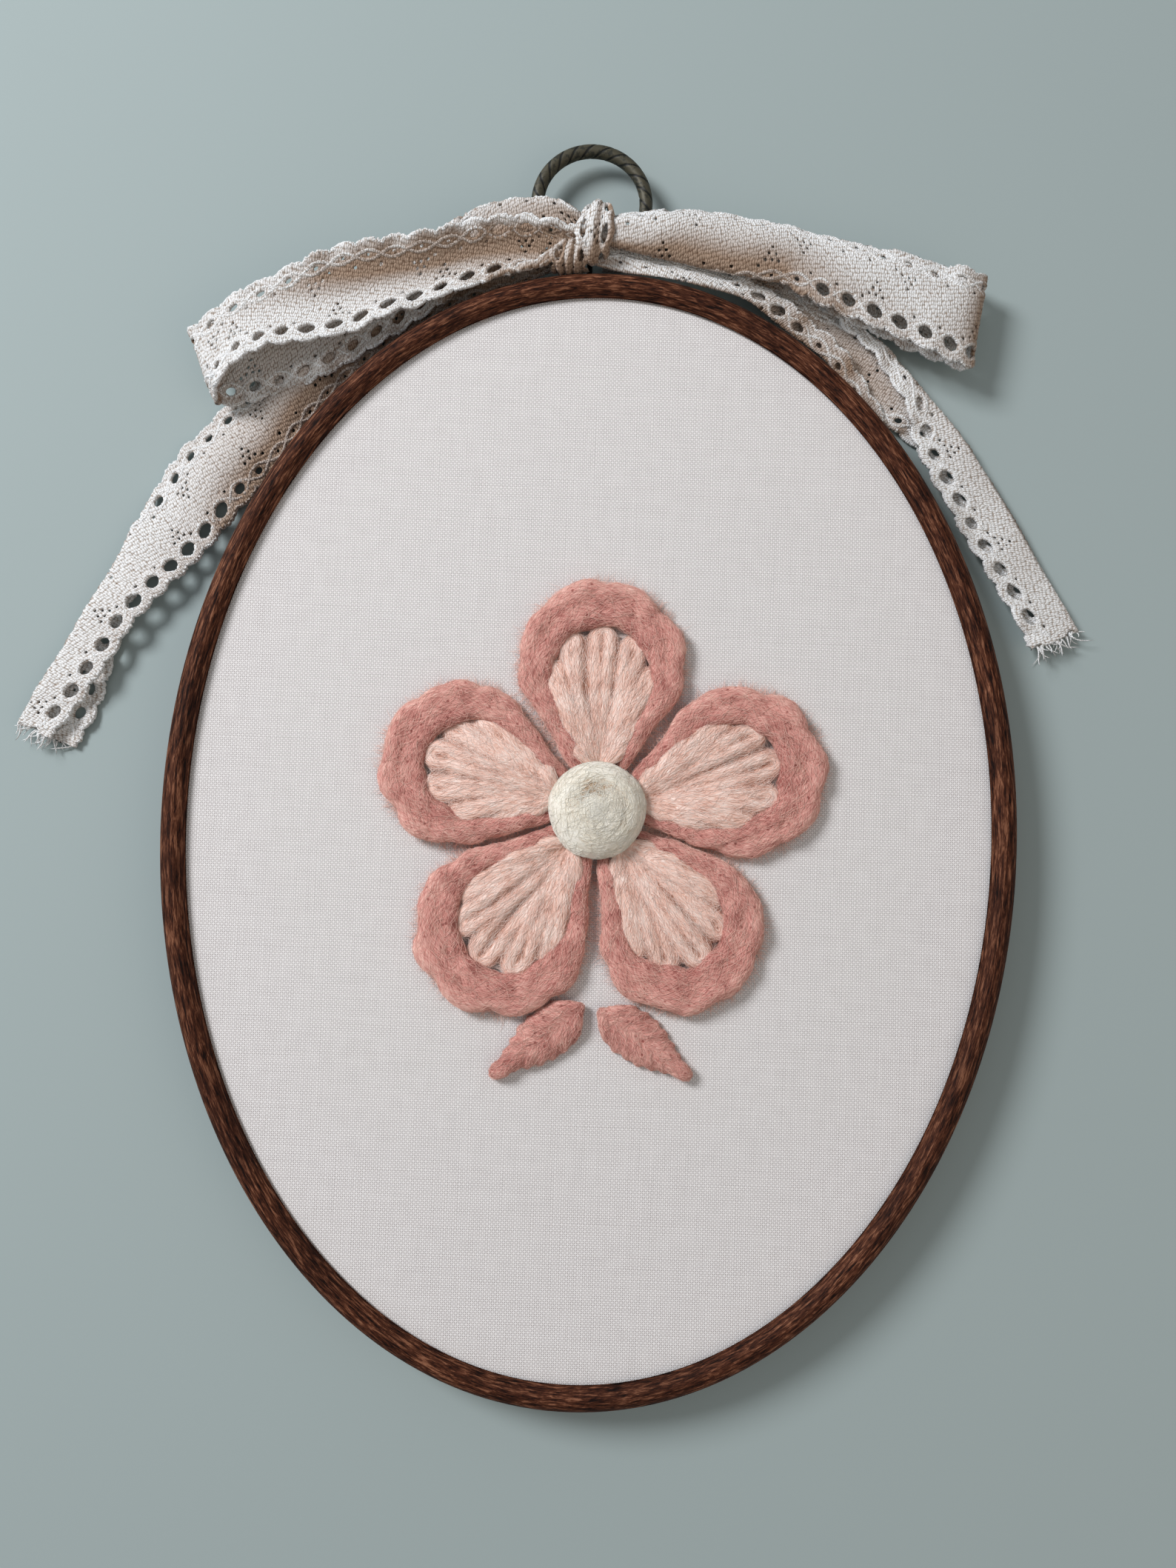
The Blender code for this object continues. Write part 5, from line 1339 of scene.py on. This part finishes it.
for index in range(PETALS):
    random = np.random.default_rng(200 + index)
    paths, radii = fan_loops(index, random)
    loops = tubes(paths, 1.06 * radii, 12, 0.85, 0.0, random)
    fan = felted_body("petal_fan_%d" % (index + 1), [loops], 0.5, 2)
    points, normals = read_body(fan)
    place, aside, along = lie_on(points, paths, hairpin=True)
    # Darker away from each strand's middle line: painted shade in the grooves between the strands.
    set_lay(fan, place, aside, 0.7 - 1.9 * np.clip((np.abs(aside) - 0.6) / 1.3, 0, 1))
    fibres = laid_fibres(fan, along, normals[:, 2] > 0.1, FAN_FIBRES, (3.0, 9.0), 0.25, 0.25, random)
    join_fibres(fan, [fibre_tubes(fibres, 0.7 * FIBRE_RADIUS, (0.9, 1.6), random)])
    dress(fan, blush, "blush_wool", "petal_heart_%d" % (index + 1))


# The leaves. Two small pointed leaves below the flower in the same pink wool, worked as slanting
# stitches from the vein to the edge.

LEAVES = (("leaf_left", (0.8, -35.5), (-18.0, -50.5)), ("leaf_right", (2.6, -36.0), (22.0, -49.5)))
LEAF_HALF_WIDTH = 5.6
LEAF_HEIGHT = 3.1
LEAF_STITCHES = 8                           # to a side
LEAF_FIBRES = 700

for number, (name, root, tip) in enumerate(LEAVES):
    random = np.random.default_rng(300 + number)
    root, run = np.array(root), np.array(tip) - np.array(root)
    ahead = run / np.linalg.norm(run)
    across = np.array([-ahead[1], ahead[0]])
    paths, radii = [], []
    t = (1 - np.cos(np.linspace(0, math.pi, 11))) / 2
    for stitch in range(LEAF_STITCHES):
        for side in (-1, 1):
            share = (stitch + 0.3 + 0.25 * (side > 0)) / LEAF_STITCHES
            start = root + run * share * 0.84 - side * across * 0.4
            end_share = min(share * 0.86 + 0.24, 0.99)
            half = LEAF_HALF_WIDTH * math.sin(math.pi * end_share ** 0.8)
            end = root + run * end_share + side * across * max(half - 0.6, 0.2)
            flat = start + (end - start) * t[:, None] + ahead * (1.6 * t * (1 - t))[:, None]
            radius = 1.5 * random.uniform(0.88, 1.12)
            sunk = 0.75 * radius + 1.6 * t ** 2.4 + 0.5 * (1 - t) ** 3
            height = LEAF_HEIGHT - sunk + random.normal(0, 0.15)
            paths.append(np.column_stack([flat, WOOL_BASE + np.maximum(height, 0.3)]))
            radii.append(radius * np.sin(math.pi * (0.06 + 0.9 * t)) ** 0.45)
    paths, radii = np.array(paths), np.array(radii)
    leaf = felted_body(name + "_stitches", [tubes(paths, 1.06 * radii, 10, 0.75, 0.0, random)], 0.5, 2)
    points, normals = read_body(leaf)
    place, aside, stitch_way = lie_on(points, paths)
    set_lay(leaf, place, aside, np.full(len(points), 0.15))
    fibres = laid_fibres(leaf, stitch_way, normals[:, 2] > -0.2, LEAF_FIBRES, (1.5, 4.5), 0.25, 0.5, random)
    join_fibres(leaf, [fibre_tubes(fibres, 0.75 * FIBRE_RADIUS, (0.9, 1.4), random)])
    dress(leaf, dusty_pink, "dusty_pink_wool", name)


# The ball. A button of cream roving felted smooth, with the last turn of the strand curled over
# its top round a shallow hollow.

BALL_RADIUS = 10.0
BALL_HEIGHT = 8.9
BALL_BELLY = 0.35                           # share of its height where it is widest
BALL_FIBRES = 1900

# Each lies on an arc round the top: the arc's middle and half in degrees, how far out, how wide.
BALL_HOLLOW = (108, 75, 0.42, 0.14)
BALL_CREASE = (50, 115, 0.57, 0.08)
BALL_RIM = (80, 150, 0.74, 0.13)


def on_arc(ways, middle, half, out, width):
    """One at the middle of an arc round the ball's top, falling to nothing beside it and at its ends."""
    away = (np.degrees(np.arctan2(ways[:, 1], ways[:, 0])) - middle + 180) % 360 - 180
    share = np.clip(np.cos(np.radians(90 * away / half)), 0, 1) * (np.abs(away) < half) * (ways[:, 2] > 0)
    return share * np.exp(-((np.hypot(ways[:, 0], ways[:, 1]) - out) / width) ** 2)


random = np.random.default_rng(400)
bpy.ops.mesh.primitive_uv_sphere_add(segments=104, ring_count=64, radius=1.0)
ball = bpy.context.object
ball.name = "felted_ball"
ways = np.array([vertex.co for vertex in ball.data.vertices])
turn, far = np.arctan2(ways[:, 1], ways[:, 0]), np.hypot(ways[:, 0], ways[:, 1])
hollow, crease, rim = (on_arc(ways, *arc) for arc in (BALL_HOLLOW, BALL_CREASE, BALL_RIM))
lumps = 0.012 * np.sin(3 * turn + 4 * ways[:, 2]) + 0.008 * np.sin(5 * turn - 3 * ways[:, 2])
reach = 0.965 + 0.04 * rim - 0.17 * hollow - 0.035 * crease + lumps * far
low = BALL_BELLY * BALL_HEIGHT
points = ways * np.array([BALL_RADIUS, BALL_RADIUS, BALL_HEIGHT - low]) * reach[:, None]
points += np.array([*FLOWER_MIDDLE, WOOL_BASE + low])
points[:, 2] = np.maximum(points[:, 2], WOOL_BASE)
ball.data.vertices.foreach_set("co", on_hoop(points).ravel())
bpy.ops.object.shade_smooth()
polar = np.arccos(np.clip(ways[:, 2], -1, 1)) * BALL_RADIUS
# Darker in the hollow and the crease under the curl: painted shade.
set_lay(ball, 7.0 * turn, polar, 0.82 - 2.1 * hollow - 0.9 * crease)
along = np.column_stack([-ways[:, 1], ways[:, 0], 0 * far]) / np.maximum(far, 0.05)[:, None]
swirls = laid_fibres(ball, along, ways[:, 2] > -0.3, BALL_FIBRES, (2.0, 6.0), 0.18, 0.8, random)
join_fibres(ball, [fibre_tubes(swirls, 0.75 * FIBRE_RADIUS, (0.9, 1.6), random)])
dress(ball, cream, "cream_wool", "centre_ball")
